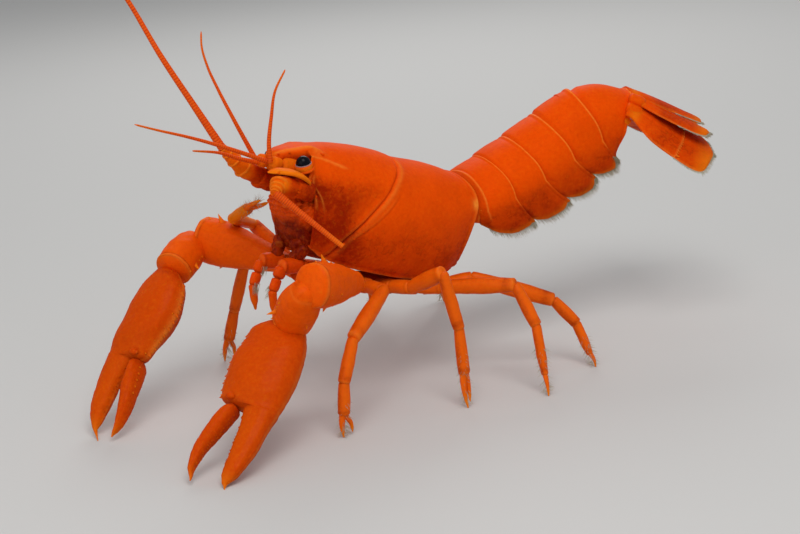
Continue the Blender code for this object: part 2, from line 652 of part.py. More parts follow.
def build_maxilliped(side):
    """Third maxilliped: reaches ahead from the sternum, then hangs down."""
    path = [body_point(*mirrored(p, side)) for p in MAXILLIPED_JOINTS]
    rings = tube_rings(path, MAXILLIPED_SIZES, BODY_LEFT, 8)
    mesh_object(f"maxilliped_{side}", loft(rings), leg_material())


def leg_root(number, side):
    """Place on the sternum where a leg starts."""
    sign = 1.0 if side == "left" else -1.0
    return body_point(LEG_ROOT_AHEAD[number], sign * LEG_ROOT_HALF, LEG_ROOT_HEIGHT)


def build_leg(number, side):
    """One walking leg in two nodes, parted at the knee."""
    root = leg_root(number, side)
    hip, knee, wrist, foot = [floor_point(*p) for p in LIMB_JOINTS[(f"leg_{number}", side)]]
    sign = 1.0 if side == "left" else -1.0
    start = (root, sign * BODY_LEFT)
    end = joint_plane(hip, knee, wrist, -GAP / 2)
    path = [root, root + 0.45 * (hip - root), hip] + spread(hip, knee, (0.35, 0.75)) + [knee]
    upper = tube_rings(path, UPPER_LEG_SIZES, STRAIGHT_UP, 8, start, end)
    mesh_object(f"leg_{number}_upper_{side}", loft(upper), leg_material())
    start = joint_plane(hip, knee, wrist, GAP / 2)
    if number <= 3:
        build_pincer_leg(number, side, knee, wrist, foot, start)
        return
    ankle = wrist + ANKLE_SHARE * (foot - wrist)
    ankle[2] = max(ankle[2], ANKLE_LOWEST)
    path = [knee, (knee + wrist) / 2, wrist] + spread(wrist, ankle, (0.5, 1.0)) + [foot + GAP * STRAIGHT_UP]
    rings = tube_rings(path, LOWER_LEG_SIZES, BODY_AHEAD, 8, start)
    rings.append(flat_foot(foot, FOOT_FLAT, rings[-1]))
    mesh_object(f"leg_{number}_lower_{side}", loft(rings), leg_material())


def flat_foot(foot, radius, ring):
    """Small flat at floor level under a leg tip."""
    flat = ring - ring.mean(axis=0)
    flat[:, 2] = 0.0
    spread_out = flat / max(np.linalg.norm(flat, axis=1).max(), 1e-9) * radius
    return spread_out + np.array([foot[0], foot[1], 0.0])


def build_pincer_leg(number, side, knee, wrist, foot, start):
    """Lower half of a leg that ends in a small pincer, its two fingers fused to one node."""
    on_floor = foot[2] < 1.0
    axis = unit(foot - wrist)
    length = np.linalg.norm(foot - wrist)
    across = -unit(np.cross(axis, np.cross(BODY_AHEAD, axis)))
    gape = PINCER_GAPE[(number, side)]
    split = wrist + axis * length * PINCER_SPLIT
    tip = foot + (GAP if on_floor else 0.0) * STRAIGHT_UP
    halfway = split + axis * length * 0.22
    path = [
        knee, (knee + wrist) / 2, wrist, wrist + axis * length * 0.3,
        split - across * 0.2, halfway - across * 0.45, tip]
    rings = tube_rings(path, PINCER_SIZES, BODY_AHEAD, 8, start)
    if on_floor:
        rings.append(flat_foot(foot, FOOT_FLAT, rings[-1]))
    item = mesh_object(f"leg_{number}_lower_{side}", loft(rings), leg_material())
    finger_path = [
        split - axis * 1.2 + across * 0.2, split + across * 0.45,
        halfway + across * (0.55 + gape * 0.6), wrist + axis * length * 0.93 + across * (0.4 + gape)]
    fuse(item, [loft(tube_rings(finger_path, PINCER_FINGER_SIZES, BODY_AHEAD, 6))])


def build_cheliped(side):
    """Arm, carpus, palm with fixed finger, and moving finger of one large claw."""
    root = leg_root(1, side)
    hip, elbow, wrist, tip = [floor_point(*p) for p in LIMB_JOINTS[("cheliped", side)]]
    sign = 1.0 if side == "left" else -1.0
    start = (root, sign * BODY_LEFT)
    end = joint_plane(hip, elbow, wrist, -GAP / 2)
    arm = tube_rings([root, root + 0.5 * (hip - root), hip], ARM_ROOT_SIZES, STRAIGHT_UP, 12, start)
    direction = unit(elbow - hip)
    sizes = ARM_GIRTH[side] * np.array(UPPER_ARM_SIZES)
    sections = [oval_section(direction, STRAIGHT_UP, size, 12) for size in sizes]
    arm += straight_rings(hip, elbow, UPPER_ARM_FRACTIONS, sections, (hip, direction), end)
    item = mesh_object(f"cheliped_arm_{side}", loft(arm), claw_material())
    upward = square_to(STRAIGHT_UP, direction)
    points = []
    for share, reach, length, radius in UPPER_ARM_TOP_SPINES:
        foot = hip + share * (elbow - hip) + upward * reach * ARM_GIRTH[side]
        points.append(spine(foot, upward + 0.7 * direction, length, radius))
    for share, reach, length, radius in UPPER_ARM_LOW_SPINES:
        foot = hip + share * (elbow - hip) - upward * reach * ARM_GIRTH[side]
        points.append(spine(foot, 0.7 * direction - upward, length, radius))
    fuse(item, points)
    start = joint_plane(hip, elbow, wrist, GAP / 2)
    end = joint_plane(elbow, wrist, tip, -GAP / 2)
    direction = unit(wrist - elbow)
    sections = [oval_section(direction, BODY_AHEAD, size, 12) for size in CARPUS_SIZES]
    carpus = straight_rings(elbow, wrist, CARPUS_FRACTIONS, sections, start, end)
    item = mesh_object(f"cheliped_carpus_{side}", loft(carpus), claw_material())
    inward = square_to(0.45 * BODY_AHEAD - sign * BODY_LEFT, direction)
    points = []
    for share, reach, length, radius in CARPUS_SPINES:
        foot = elbow + share * (wrist - elbow) + inward * reach
        points.append(spine(foot, inward + 0.7 * direction, length, radius))
    fuse(item, points)
    build_claw(side, elbow, wrist, tip)


def square_to(vector, direction):
    """Direction of length one nearest to the vector and square to the given direction."""
    return unit(vector - (vector @ direction) * direction)


def claw_frame(side, wrist, tip):
    """Length axis of the claw, its inward direction and its outer-face normal."""
    axis = unit(tip - wrist)
    normal = square_to(STRAIGHT_UP, axis)
    sign = 1.0 if side == "left" else -1.0
    inward = sign * np.cross(normal, axis)
    if (inward @ BODY_LEFT) * sign > 0:
        inward = -inward
    roll = math.radians(CLAW_ROLL[side])
    normal, inward = (
        unit(math.cos(roll) * normal - math.sin(roll) * inward),
        unit(math.cos(roll) * inward + math.sin(roll) * normal),
    )
    return axis, inward, normal


def sweep_at(side, along):
    """Sideways bend of the claw, which swells past its start and fades out at the floor tip."""
    share = np.clip((along - SWEEP_START) / (FINGER_STATIONS[-1] - SWEEP_START), 0.0, 1.0)
    return FINGER_SWEEP[side] * math.sin(share * 0.62 * math.pi) ** 1.3


def build_claw(side, elbow, wrist, tip):
    """Palm with its fixed finger and edge teeth, and the moving finger beside it."""
    axis, inward, normal = claw_frame(side, wrist, tip)
    start = joint_plane(elbow, wrist, tip, GAP / 2)
    rings = []
    for s, outer, inner, thick in zip(CLAW_STATIONS, CLAW_OUTER, CLAW_INNER, CLAW_HALF_THICK):
        inner *= INNER_SHARE[side]
        centre = wrist + axis * s + inward * ((outer + inner) / 2 + sweep_at(side, s))
        ring = oval(centre, inward, normal, (inner - outer) / 2, thick, 14, 2.3)
        lean = max(0.0, 1.0 - s / 7.0)
        ring = ring + (slide_to_plane(ring, axis, start) - slide_to_plane(ring, axis, (wrist, axis))) * lean
        rings.append(ring)
    for s, outer, inner, thick in zip(FINGER_STATIONS, FINGER_OUTER, FINGER_INNER, FINGER_HALF_THICK):
        centre = wrist + axis * s + inward * ((outer + inner) / 2 + sweep_at(side, s))
        rings.append(oval(centre, inward, normal, (inner - outer) / 2, thick, 14, 2.2))
    rings.append(flat_foot(tip, CLAW_FLAT, rings[-1]))
    palm = mesh_object(f"claw_palm_{side}", loft(rings), claw_material())
    teeth = []
    for s in np.linspace(*PALM_TEETH_REACH, PALM_TEETH):
        reach = smooth(CLAW_STATIONS, CLAW_INNER, s) * INNER_SHARE[side] + sweep_at(side, s)
        root = wrist + axis * s + inward * (reach - 0.05)
        teeth.append(spine(root, inward + 0.5 * axis, *PALM_TOOTH))
    fuse(palm, teeth)
    rings = []
    for s, outer, inner, thick in zip(DACTYL_STATIONS, DACTYL_OUTER, DACTYL_INNER, DACTYL_HALF_THICK):
        inner += MOVING_FINGER_SHIFT[side]
        outer += MOVING_FINGER_SHIFT[side] * min(1.0, (s - SHIFT_START) / SHIFT_REACH)
        centre = wrist + axis * s + inward * ((outer + inner) / 2 + sweep_at(side, s))
        rings.append(oval(centre, inward, normal, (inner - outer) / 2, thick, 12, 2.2))
    mesh_object(f"claw_finger_{side}", loft(rings), claw_material())


def segment_directions():
    """Backward, left and up directions of each abdomen segment."""
    frames = []
    for pitch, yaw in zip(SEGMENT_PITCH + (TELSON_PITCH,), SEGMENT_YAW + (TELSON_YAW,)):
        p = math.radians(pitch)
        y = math.radians(yaw)
        level = -math.cos(p) * BODY_AHEAD + math.sin(p) * BODY_UP
        back = unit(math.cos(y) * level + math.sin(y) * BODY_LEFT)
        left = unit(math.cos(y) * BODY_LEFT - math.sin(y) * level)
        up = np.cross(left, back) * -1.0
        if up @ BODY_UP < 0:
            up = -up
        frames.append((back, left, up))
    return frames


def abdomen_outline(half, dorsal, pleura):
    """Side and height of an arch with side lobes, hollow below, the same heights on both sides."""
    angle = np.linspace(-math.pi / 2, math.pi / 2, ARCH_POINTS)
    arch = [(half * math.sin(a), dorsal * math.cos(a)) for a in angle]
    middle = (BELLY_HEIGHT - pleura) / 2
    inner = half - PLEURA_WALL
    lobe = [(half, BELLY_HEIGHT), (half * 0.98, middle), (half * 0.9, -pleura)]
    lobe += [(inner, middle), (inner - 0.4, BELLY_HEIGHT)]
    return np.array(arch + lobe + [(-s, h) for s, h in lobe[::-1]])


def abdomen_caps():
    """Faces of a segment's end, in level strips from side to side, then one strip pair for each lobe."""
    last = ARCH_POINTS - 1
    strips = [(i, i + 1, last - 1 - i, last - i) for i in range(last // 2 - 1)]
    strips.append((last // 2 - 1, last // 2, last // 2 + 1))
    left = [last + 1 + k for k in range(5)]
    right = [last + 10 - k for k in range(5)]
    strips.append((0, last, left[0], left[4], right[4], right[0]))
    for side in (left, right):
        strips.append((side[0], side[1], side[3], side[4]))
        strips.append((side[1], side[2], side[3]))
    return strips


def swept_back(rings, outlines, fractions, start_back, end_back):
    """Moves the part of each ring below the hinge line back, more the deeper it lies."""
    moved = []
    for ring, outline, t in zip(rings, outlines, fractions):
        back = unit(start_back + (end_back - start_back) * t)
        depth = np.maximum(0.0, -outline[:, 1])
        moved.append(ring + (PLEURA_SWEEP * depth)[:, None] * back)
    return moved


def build_abdomen():
    """Six abdomen segments along the curved hinge line, then the tail fan.

    Each joint has one plane, halfway between its segments and leaning back at the top, and each
    segment ends half a gap before it.
    """
    frames = segment_directions()
    joints = [body_point(HINGE_START[0], 0.0, HINGE_START[1])]
    for length, (back, _, _) in zip(SEGMENT_LENGTH, frames):
        joints.append(joints[-1] + length * back)
    first_back = -BODY_AHEAD
    backs = [first_back] + [f[0] for f in frames]
    across = [unit(before + after) for before, after in zip(backs, backs[1:])]
    planes = []
    for lean, direction in zip(JOINT_LEAN, across):
        upward = unit(np.cross(BODY_LEFT, direction))
        if upward @ BODY_UP < 0:
            upward = -upward
        planes.append(unit(direction + lean * upward))
    front = joints[0] - first_back * FIRST_SEGMENT_LENGTH
    outline = abdomen_outline(*FIRST_SEGMENT_SIZE)
    section = outline_section(outline, BODY_LEFT, BODY_UP)
    rings = straight_rings(
        front, joints[0], (0.0, 1.0), (section, section),
        (front, first_back), (joints[0] - planes[0] * SEGMENT_GAP / 2, planes[0]))
    mesh_object("abdomen_1", loft(rings, abdomen_caps()), shell_material())
    for k, depth in enumerate(PLEURA_DEPTH):
        back, left, up = frames[k]
        outlines = []
        front_depth = LOBE_START * min(PLEURA_DEPTH[max(k - 1, 0)], depth)
        rear_depth = LOBE_START * min(depth, PLEURA_DEPTH[min(k + 1, 4)])
        for t, lobe in zip(SEGMENT_FRACTIONS, (front_depth, LOBE_SWELL * depth, depth, rear_depth)):
            bulge = TERGITE_BULGE * math.sin(math.pi * t)
            half = JOINT_HALF_WIDTH[k] + (JOINT_HALF_WIDTH[k + 1] - JOINT_HALF_WIDTH[k]) * t + bulge
            dorsal = JOINT_DORSAL[k] + (JOINT_DORSAL[k + 1] - JOINT_DORSAL[k]) * t + bulge
            outlines.append(abdomen_outline(half, dorsal, lobe))
        sections = [outline_section(outline, left, up) for outline in outlines]
        start = (joints[k] + planes[k] * SEGMENT_GAP / 2, planes[k])
        end = (joints[k + 1] - planes[k + 1] * SEGMENT_GAP / 2, planes[k + 1])
        rings = straight_rings(joints[k], joints[k + 1], SEGMENT_FRACTIONS, sections, start, end)
        rings = swept_back(rings, outlines, SEGMENT_FRACTIONS, across[k], across[k + 1])
        item = mesh_object(f"abdomen_{k + 2}", loft(rings, abdomen_caps()), shell_material())
        if k < 4:
            middle = (joints[k] + joints[k + 1]) / 2
            fuse(item, [swimmeret(middle, frames[k], sign) for sign in (1.0, -1.0)])
    build_tail_fan(joints[-1], frames[-1], planes[-1])


def swimmeret(middle, frame, sign):
    """Flat limb that hangs back and down from the hollow of a segment."""
    back, left, up = frame
    start = middle + sign * SWIMMERET_SIDE * left
    path = [start + b * back + u * up for b, u in SWIMMERET_PATH]
    return loft(tube_rings(path, SWIMMERET_SIZES, back, 6))


def outline_section(outline, left, up):
    """Section function for an outline given as side and height."""
    return lambda centre: centre + outline[:, :1] * left + outline[:, 1:] * up


def plate(name, root, directions, length, half, thickness, outer_share, end_plane):
    """Thin cambered plate on a grid, its first row on a plane, its two faces split into triangles alike."""
    back, across, normal = directions
    bm = bmesh.new()
    rows = []
    for s, width, thick in zip(PLATE_STATIONS, half, thickness):
        share = np.linspace(-1.0, 1.0, PLATE_COLUMNS)
        camber = 0.1 * (1 - share**2) * width
        row = root + back * s * length
        row = row + np.outer((share + outer_share) * width, across) + np.outer(camber, normal)
        pair = []
        for face in (0.5, -0.5):
            points = row + normal * thick * face
            if s == 0.0:
                points = slide_to_plane(points, back, end_plane)
            pair.append([bm.verts.new(Vector(p)) for p in points])
        rows.append(list(zip(*pair)))
    for first, second in zip(rows, rows[1:]):
        for c in range(PLATE_COLUMNS - 1):
            for face in (0, 1):
                bm.faces.new((first[c][face], first[c + 1][face], second[c + 1][face]))
                bm.faces.new((first[c][face], second[c + 1][face], second[c][face]))
    last = len(rows) - 1
    border = [(0, c) for c in range(PLATE_COLUMNS)] + [(r, PLATE_COLUMNS - 1) for r in range(1, last + 1)]
    border += [(last, c) for c in range(PLATE_COLUMNS - 2, -1, -1)] + [(r, 0) for r in range(last - 1, 0, -1)]
    for (r1, c1), (r2, c2) in zip(border, border[1:] + border[:1]):
        a = rows[r1][c1]
        b = rows[r2][c2]
        bm.faces.new((a[0], a[1], b[1], b[0]))
    mesh_object(name, bm, shell_material())


def build_tail_fan(joint, frame, last_plane):
    """Telson in the middle, then an inner and an outer plate on each side."""
    back, left, up = frame
    end_plane = (joint + SEGMENT_GAP * last_plane, last_plane)
    root = joint + back * FAN_START + up * TELSON_UP
    plate("telson", root, (back, left, up), TELSON_LENGTH, TELSON_HALF, TELSON_THICKNESS, 0.0, end_plane)
    for side, sign in (("left", 1.0), ("right", -1.0)):
        for kind in ("endopod", "exopod"):
            droop = math.radians(FAN_DROOP[(kind, side)])
            splay = math.radians(FAN_SPLAY[kind])
            outward = unit(sign * left * math.cos(droop) - up * math.sin(droop))
            direction = unit(back * math.cos(splay) + outward * math.sin(splay))
            across = square_to(outward, direction)
            normal = np.cross(direction, across)
            if normal @ up < 0:
                normal = -normal
            start = joint + back * FAN_START + sign * left * FAN_OUT[kind] + up * FAN_UP[kind]
            plate(
                f"tail_{kind}_{side}", start, (direction, across, normal), FAN_LENGTH[kind],
                FAN_HALF[kind], FAN_THICKNESS, FAN_OUTER_SHARE[kind], end_plane)


def stand_on_origin():
    """Parents everything to an empty and moves it so the box's bottom centre is the origin."""
    bpy.context.view_layer.update()
    items = [item for item in bpy.context.scene.objects if item.type == "MESH"]
    points = np.concatenate([np.array([v.co for v in item.data.vertices]) for item in items])
    low = points.min(axis=0)
    high = points.max(axis=0)
    base = bpy.data.objects.new("crayfish", None)
    bpy.context.scene.collection.objects.link(base)
    base.location = (-(low[0] + high[0]) / 2, -(low[1] + high[1]) / 2, -low[2])
    for item in items:
        item.parent = base


def main():
    """Builds every node, then stands the whole on the origin."""
    clear_scene()
    build_carapace()
    build_sternum()
    build_mouthparts()
    for side in ("left", "right"):
        build_eye(side)
        build_antenna(side)
        build_antennule(side)
        build_maxilliped(side)
        build_cheliped(side)
        for number in (2, 3, 4, 5):
            build_leg(number, side)
    build_abdomen()
    stand_on_origin()


main()
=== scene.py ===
"""Finished look of the apricot crayfish: fine shells, claws, eyes, feelers, legs and fringes over the frame.

Shapes are worked out in millimetres.  Floor places are (ahead, left, up) from the floor under the rear
top edge of the carapace.  Body places are (ahead, left, up) along the carapace, which is pitched head up.
"""

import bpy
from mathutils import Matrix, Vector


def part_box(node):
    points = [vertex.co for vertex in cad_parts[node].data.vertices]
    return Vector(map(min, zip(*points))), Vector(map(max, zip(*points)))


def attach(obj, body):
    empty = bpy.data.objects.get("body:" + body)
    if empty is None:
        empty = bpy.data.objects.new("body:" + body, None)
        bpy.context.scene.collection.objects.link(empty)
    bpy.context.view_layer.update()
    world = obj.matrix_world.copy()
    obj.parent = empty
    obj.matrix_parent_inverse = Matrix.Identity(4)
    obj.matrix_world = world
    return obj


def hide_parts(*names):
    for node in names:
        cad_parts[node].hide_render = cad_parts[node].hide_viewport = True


bl_info = {
    "name": "Apricot crayfish",
    "version": (1, 0, 0),
    "blender": (4, 5, 0),
    "location": "3D View > Sidebar > Crayfish",
    "description": "Builds the finished pieces of a life-size crayfish model",
    "category": "Object",
}

import math

import bpy
import numpy as np
from mathutils import Matrix

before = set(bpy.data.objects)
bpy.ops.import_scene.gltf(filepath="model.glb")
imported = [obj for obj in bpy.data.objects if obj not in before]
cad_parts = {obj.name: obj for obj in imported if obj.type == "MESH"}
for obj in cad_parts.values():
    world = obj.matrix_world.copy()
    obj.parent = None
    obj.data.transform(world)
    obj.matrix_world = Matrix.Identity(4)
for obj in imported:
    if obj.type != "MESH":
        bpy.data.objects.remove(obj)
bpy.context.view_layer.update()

# Metres in a millimetre, and the other way round
MM = 0.001
PER_METRE = 1000.0
SIDES = (("left", 1.0), ("right", -1.0))
BODY_PITCH = math.radians(18.0)
REAR_EDGE_HEIGHT = 35.5
BODY_AHEAD = np.array([-math.cos(BODY_PITCH), 0.0, math.sin(BODY_PITCH)])
BODY_LEFT = np.array([0.0, -1.0, 0.0])
BODY_UP = np.array([math.sin(BODY_PITCH), 0.0, math.cos(BODY_PITCH)])
BODY_ORIGIN = np.array([0.0, 0.0, REAR_EDGE_HEIGHT])
STRAIGHT_UP = np.array([0.0, 0.0, 1.0])

# Carapace sections from the rear edge forward
STATIONS = (-2.0, 0.0, 4.0, 9.0, 14.2, 19.0, 24.0, 28.0, 31.0, 34.6)
TOP_HEIGHT = (-0.2, 0.0, 0.7, 1.2, 1.3, 2.1, 2.4, 2.3, 2.1, 1.7)
HALF_WIDTH = (8.3, 8.7, 9.6, 10.2, 10.3, 10.0, 9.2, 8.3, 7.4, 5.9)
WIDEST_HEIGHT = (-7.0, -7.2, -8.4, -9.2, -9.4, -9.2, -8.8, -8.4, -8.0, -7.0)
MARGIN_HEIGHT = (-15.2, -16.6, -18.8, -19.7, -19.8, -19.5, -19.0, -18.3, -17.4, -15.0)
MARGIN_HALF_WIDTH = (6.0, 6.4, 7.2, 7.8, 7.9, 7.6, 7.0, 6.2, 5.4, 4.2)
ROSTRUM_STATIONS = (34.0, 35.2, 37.4, 39.6, 41.1, 41.7)
ROSTRUM_HALF_WIDTH = (4.1, 3.6, 2.9, 2.1, 1.2, 0.12)
ROSTRUM_TOP = (1.75, 1.6, 0.9, 0.2, -0.6, -1.1)
# Share of the section at its widest line, and the arc by which it tucks in below
WIDEST_SHARE = 0.58
TUCK_ANGLE = math.radians(70.0)
# Share where the beak ends, just past it, and the beak's side distance for a whole share
BEAK_SHARE, BEAK_END, BEAK_SPREAD = 0.257, 0.2571, 14.0
BELLY_COLUMNS = 9
MOUTH_AXIS = 33.0

# Claw sections from the wrist to the fixed tip, and of the moving finger
CLAW_STATIONS = (0.0, 1.6, 4.5, 9.0, 13.5, 17.0)
CLAW_OUTER = (-2.4, -3.5, -4.5, -5.0, -4.9, -4.6)
CLAW_INNER = (2.4, 4.2, 6.2, 7.2, 7.0, 6.2)
CLAW_HALF_THICK = (1.9, 2.5, 3.2, 3.6, 3.3, 2.8)
FINGER_STATIONS = (17.4, 21.0, 25.5, 29.5, 31.2)
FINGER_OUTER = (-4.5, -4.1, -3.4, -2.1, -0.9)
FINGER_INNER = (1.5, 0.8, 0.6, 0.5, 0.1)
FINGER_HALF_THICK = (2.4, 2.0, 1.6, 1.1, 0.45)
DACTYL_STATIONS = (17.75, 19.0, 22.5, 26.5, 29.5, 31.5)
DACTYL_INNER = (5.6, 6.6, 7.6, 8.0, 7.5, 6.4)
DACTYL_OUTER = (2.2, 2.5, 3.5, 4.9, 5.5, 5.8)
DACTYL_HALF_THICK = (2.2, 2.3, 2.0, 1.5, 1.0, 0.4)
CLAW_ROLL = {"left": 10.0, "right": 0.0}
INNER_SHARE = {"left": 1.0, "right": 0.81}
MOVING_FINGER_SHIFT = {"left": 0.0, "right": -1.25}
FINGER_SWEEP = {"left": 0.9, "right": -1.7}
SWEEP_START = 10.0
# Notch between palm and fixed finger, and columns among which the small grains are placed
NOTCH_START, NOTCH_LENGTH = 16.3, 1.25
GRAIN_COLUMNS = 40
PALM_TRIM = {
    "left": lambda at: 0.9 * bell(at - 2.4, 1.4) - 0.3 * ramp(9.0, 15.0, at),
    "right": lambda at: 0.3 * bell(at - 2.4, 1.4) - 1.2 * ramp(6.0, 14.0, at),
}
# Right and back directions of the photograph's camera, for the claw spines and the stage
VIEW_RIGHT = np.array([0.77, -0.6325, -0.0836])
VIEW_BACK = np.array([-0.59, -0.7557, 0.284])

# Limb joints in floor places: side joint, knee, wrist, foot
LIMB_JOINTS = {
    ("cheliped", "left"): ((32.6, 12.4, 24.4), (46.6, 18.0, 28.5), (45.6, 10.0, 20.0), (68.7, 20.1, 0.0)),
    ("cheliped", "right"): ((33.6, -10.5, 25.0), (40.5, -24.5, 28.5), (49.5, -20.7, 24.6),
                            (71.2, -15.9, 0.0)),
    ("leg_2", "left"): ((26.4, 12.0, 21.4), (37.8, 17.0, 16.7), (41.0, 17.5, 9.7), (42.2, 17.6, 0.0)),
    ("leg_3", "left"): ((20.6, 12.0, 20.2), (19.5, 20.0, 24.2), (18.3, 21.8, 14.0), (19.5, 24.1, 0.0)),
    ("leg_4", "left"): ((12.6, 10.4, 18.0), (5.5, 23.0, 18.9), (4.8, 27.0, 12.0), (6.6, 31.1, 0.0)),
    ("leg_5", "left"): ((5.0, 10.5, 17.9), (-6.2, 20.0, 12.4), (-8.8, 23.0, 7.8), (-9.1, 27.2, 0.0)),
    ("leg_2", "right"): ((28.0, -11.5, 21.4), (29.0, -23.0, 28.4), (38.0, -16.0, 32.8), (38.6, -5.6, 37.8)),
    ("leg_3", "right"): ((24.0, -11.5, 21.0), (31.6, -23.5, 21.5), (31.6, -29.0, 11.0), (32.6, -32.9, 0.0)),
    ("leg_4", "right"): ((13.0, -10.5, 18.6), (4.0, -22.0, 20.0), (0.0, -26.5, 13.0), (-3.0, -31.0, 0.0)),
    ("leg_5", "right"): ((6.0, -10.0, 17.6), (-7.0, -17.0, 15.5), (-12.0, -21.5, 9.5), (-18.0, -26.0, 0.0)),
}
LEG_ROOT_AHEAD = {1: 26.5, 2: 21.2, 3: 15.9, 4: 10.6, 5: 5.4}
LEG_NUMBERS = (2, 3, 4, 5)
LEG_EDGE = 0.45
LEG_BRISTLES = 90
PINCER_GAPE = {(2, "left"): 1.5, (3, "left"): 0.25, (2, "right"): 1.6, (3, "right"): 1.6}

# Feelers in body places
ANTENNA_JOINTS = {
    "left": ((35.4, 5.0, -6.5), (42.0, 5.5, -5.8), (43.6, 6.7, -7.2)),
    "right": ((35.4, -5.0, -6.5), (43.0, -4.4, -4.4), (48.0, -4.2, -1.4)),
}
ANTENNA_ROUTES = {
    "left": ((43.6, 6.7, -7.2), (38.55, 10.6, -10.8), (33.5, 14.5, -14.4)),
    "right": (
        (48.0, -4.2, -1.4), (53.6, -6.6, 5.2), (59.4, -10.0, 12.6), (64.6, -14.0, 20.6),
        (70.2, -19.0, 28.4), (77.0, -24.5, 34.6), (85.0, -30.0, 38.6)),
}
ANTENNULE_ROUTES = {
    "antennule_outer_flagellum_left": (
        (42.3, 2.35, -2.3), (43.1, 2.4, 0.1), (43.6, 2.4, 5.4), (43.8, 2.6, 9.6), (42.8, 3.2, 13.6)),
    "antennule_inner_flagellum_left": (
        (42.3, 1.4, -2.4), (46.8, 1.2, -1.6), (51.3, 1.0, -0.9), (58.9, 0.8, 0.0), (64.9, 0.6, 0.45),
        (69.0, 0.4, 0.85)),
    "antennule_outer_flagellum_right": (
        (42.3, -2.35, -2.2), (47.5, -3.0, 3.9), (50.8, -4.0, 8.4), (53.2, -4.6, 11.9), (54.8, -5.0, 15.3),
        (55.2, -5.2, 17.7)),
    "antennule_inner_flagellum_right": (
        (42.3, -1.4, -2.9), (46.6, -1.5, -2.6), (50.2, -1.1, -2.1), (56.2, -1.0, -2.3)),
}
# Whips: radii along the length, ring length, columns round, and whether the end is blunt
WHIP_TABLE = {
    "left": ((0.8, 0.56, 0.47, 0.42), 0.4, 16, True),
    "right": ((0.74, 0.56, 0.46, 0.39, 0.33, 0.26, 0.14), 0.5, 16, False),
}
SCALE_TILT = math.radians(24.0)
EYE_CENTRE = (37.0, 4.7, -1.9)
EYE_FACING = (0.5, 0.12, 0.94)

# Abdomen along its hinge line
HINGE_START = (-4.2, -6.2)
SEGMENT_LENGTH = (7.2, 7.4, 7.4, 7.1, 7.2)
SEGMENT_PITCH = (31.5, 38.5, 43.0, 41.0, 29.0, -12.0)
SEGMENT_YAW = (10.0, 13.0, 16.0, 19.0, 23.0, 26.0)
JOINT_HALF_WIDTH = (7.6, 8.4, 8.3, 8.0, 7.5, 6.0)
JOINT_DORSAL = (5.9, 6.8, 7.3, 7.8, 9.0, 7.2)
JOINT_LEAN = (0.05, 0.14, 0.18, 0.2, 0.2, 0.1)
PLEURA_DEPTH = (8.1, 8.0, 7.8, 6.6, 4.8)
PLEURA_SWEEP = 0.4
# Telson: length, half widths and thickness at the plate stations, outer share
TELSON_TABLE = (15.9, (3.4, 4.2, 4.0, 3.6, 2.9, 1.8), (2.0, 1.5, 1.1, 0.9, 0.8, 0.7), 0.0)
# Side plates: kind, droop a side, splay, root outward and upward, length, half widths, outer share
FAN_TABLE = (
    ("endopod", {"left": 25.0, "right": -4.0}, 10.0, 5.1, 4.2, 15.2, (1.1, 2.3, 2.9, 2.8, 2.2, 1.2), 0.6),
    ("exopod", {"left": 43.0, "right": -2.0}, 12.0, 5.4, 2.85, 17.3, (2.5, 5.0, 5.9, 5.9, 5.0, 2.7), 0.57),
)
PLATE_STATIONS = (0.0, 0.3, 0.6, 0.82, 0.94, 1.0)
PLATE_THICKNESS = (1.3, 1.0, 0.8, 0.7, 0.65, 0.6)
# Share of a plate's hair row on each straight side, before the row turns round the tip
RIM_TURN = 0.28

# Meshes and looks
SHARP_ANGLE = math.radians(50.0)
# Points of one hair, and radius of its patch on the bake map
HAIR_POINTS = 7
PATCH_RADIUS = 0.0015
ARTICLE_STATIONS = (0.0, 0.1, 0.3, 0.6, 0.9, 1.0)
# Base colour, colour mixed in and its share, shade colour (blotches and painted shade), then mottle, grain,
# gloss, coat and depth of the light
FINISHES = {
    "shell": ("shell", "shell", 0.0, "shell_deep", 0.5, 0.5, 0.38, 0.0, 0.002),
    # face_shell: the darker base and the mouth colour as shade stand partly for painted shade under the head
    "face_shell": ("shell", "shell_deep", 0.15, "mouth", 0.5, 0.5, 0.34, 0.08, 0.002),
    "claw_shell": ("claw", "claw", 0.0, "claw_deep", 0.5, 0.7, 0.42, 0.04, 0.002),
    "arm_shell": ("shell", "leg", 0.4, "claw_deep", 0.5, 0.7, 0.42, 0.04, 0.002),
    "leg_shell": ("leg", "leg", 0.0, "claw_deep", 0.35, 0.4, 0.34, 0.1, 0.0025),
    "feeler_shell": ("feeler", "feeler", 0.0, "claw_deep", 0.3, 0.3, 0.42, 0.1, 0.002),
}

# Stage: lamps with place, size and share of the key power, then the camera
FLOOR_REACH = 6.0
LAMPS = (
    ("key", (-0.12, -0.22, 0.42), 0.28, 1.0), ("fill", (-0.4, -0.1, 0.16), 0.35, 0.25),
    ("rim", (0.25, 0.3, 0.3), 0.25, 0.5))
LAMP_AIM = np.array([0.0, 0.0, 0.04])
CAMERA_PLACE = np.array([-0.2147, -0.2582, 0.1171])
SENSOR_WIDTH = 36.0
CLIP_RANGE = (0.005, 40.0)


def unit(v):
    """Vectors divided by their own length."""
    v = np.asarray(v, float)
    return v / (np.linalg.norm(v, axis=-1, keepdims=True) + 1e-12)


def floor_point(ahead, left, up):
    """Row place of a floor place: ahead is -X, left is -Y."""
    ahead, left, up = [np.asarray(value, float) for value in (ahead, left, up)]
    return np.stack(np.broadcast_arrays(-ahead, -left, up), -1)


def body_point(ahead, left, up):
    """Row place of a body place: origin plus each distance times its own direction."""
    ahead, left, up = [np.asarray(value, float)[..., None] for value in np.broadcast_arrays(ahead, left, up)]
    return BODY_ORIGIN + ahead * BODY_AHEAD + left * BODY_LEFT + up * BODY_UP


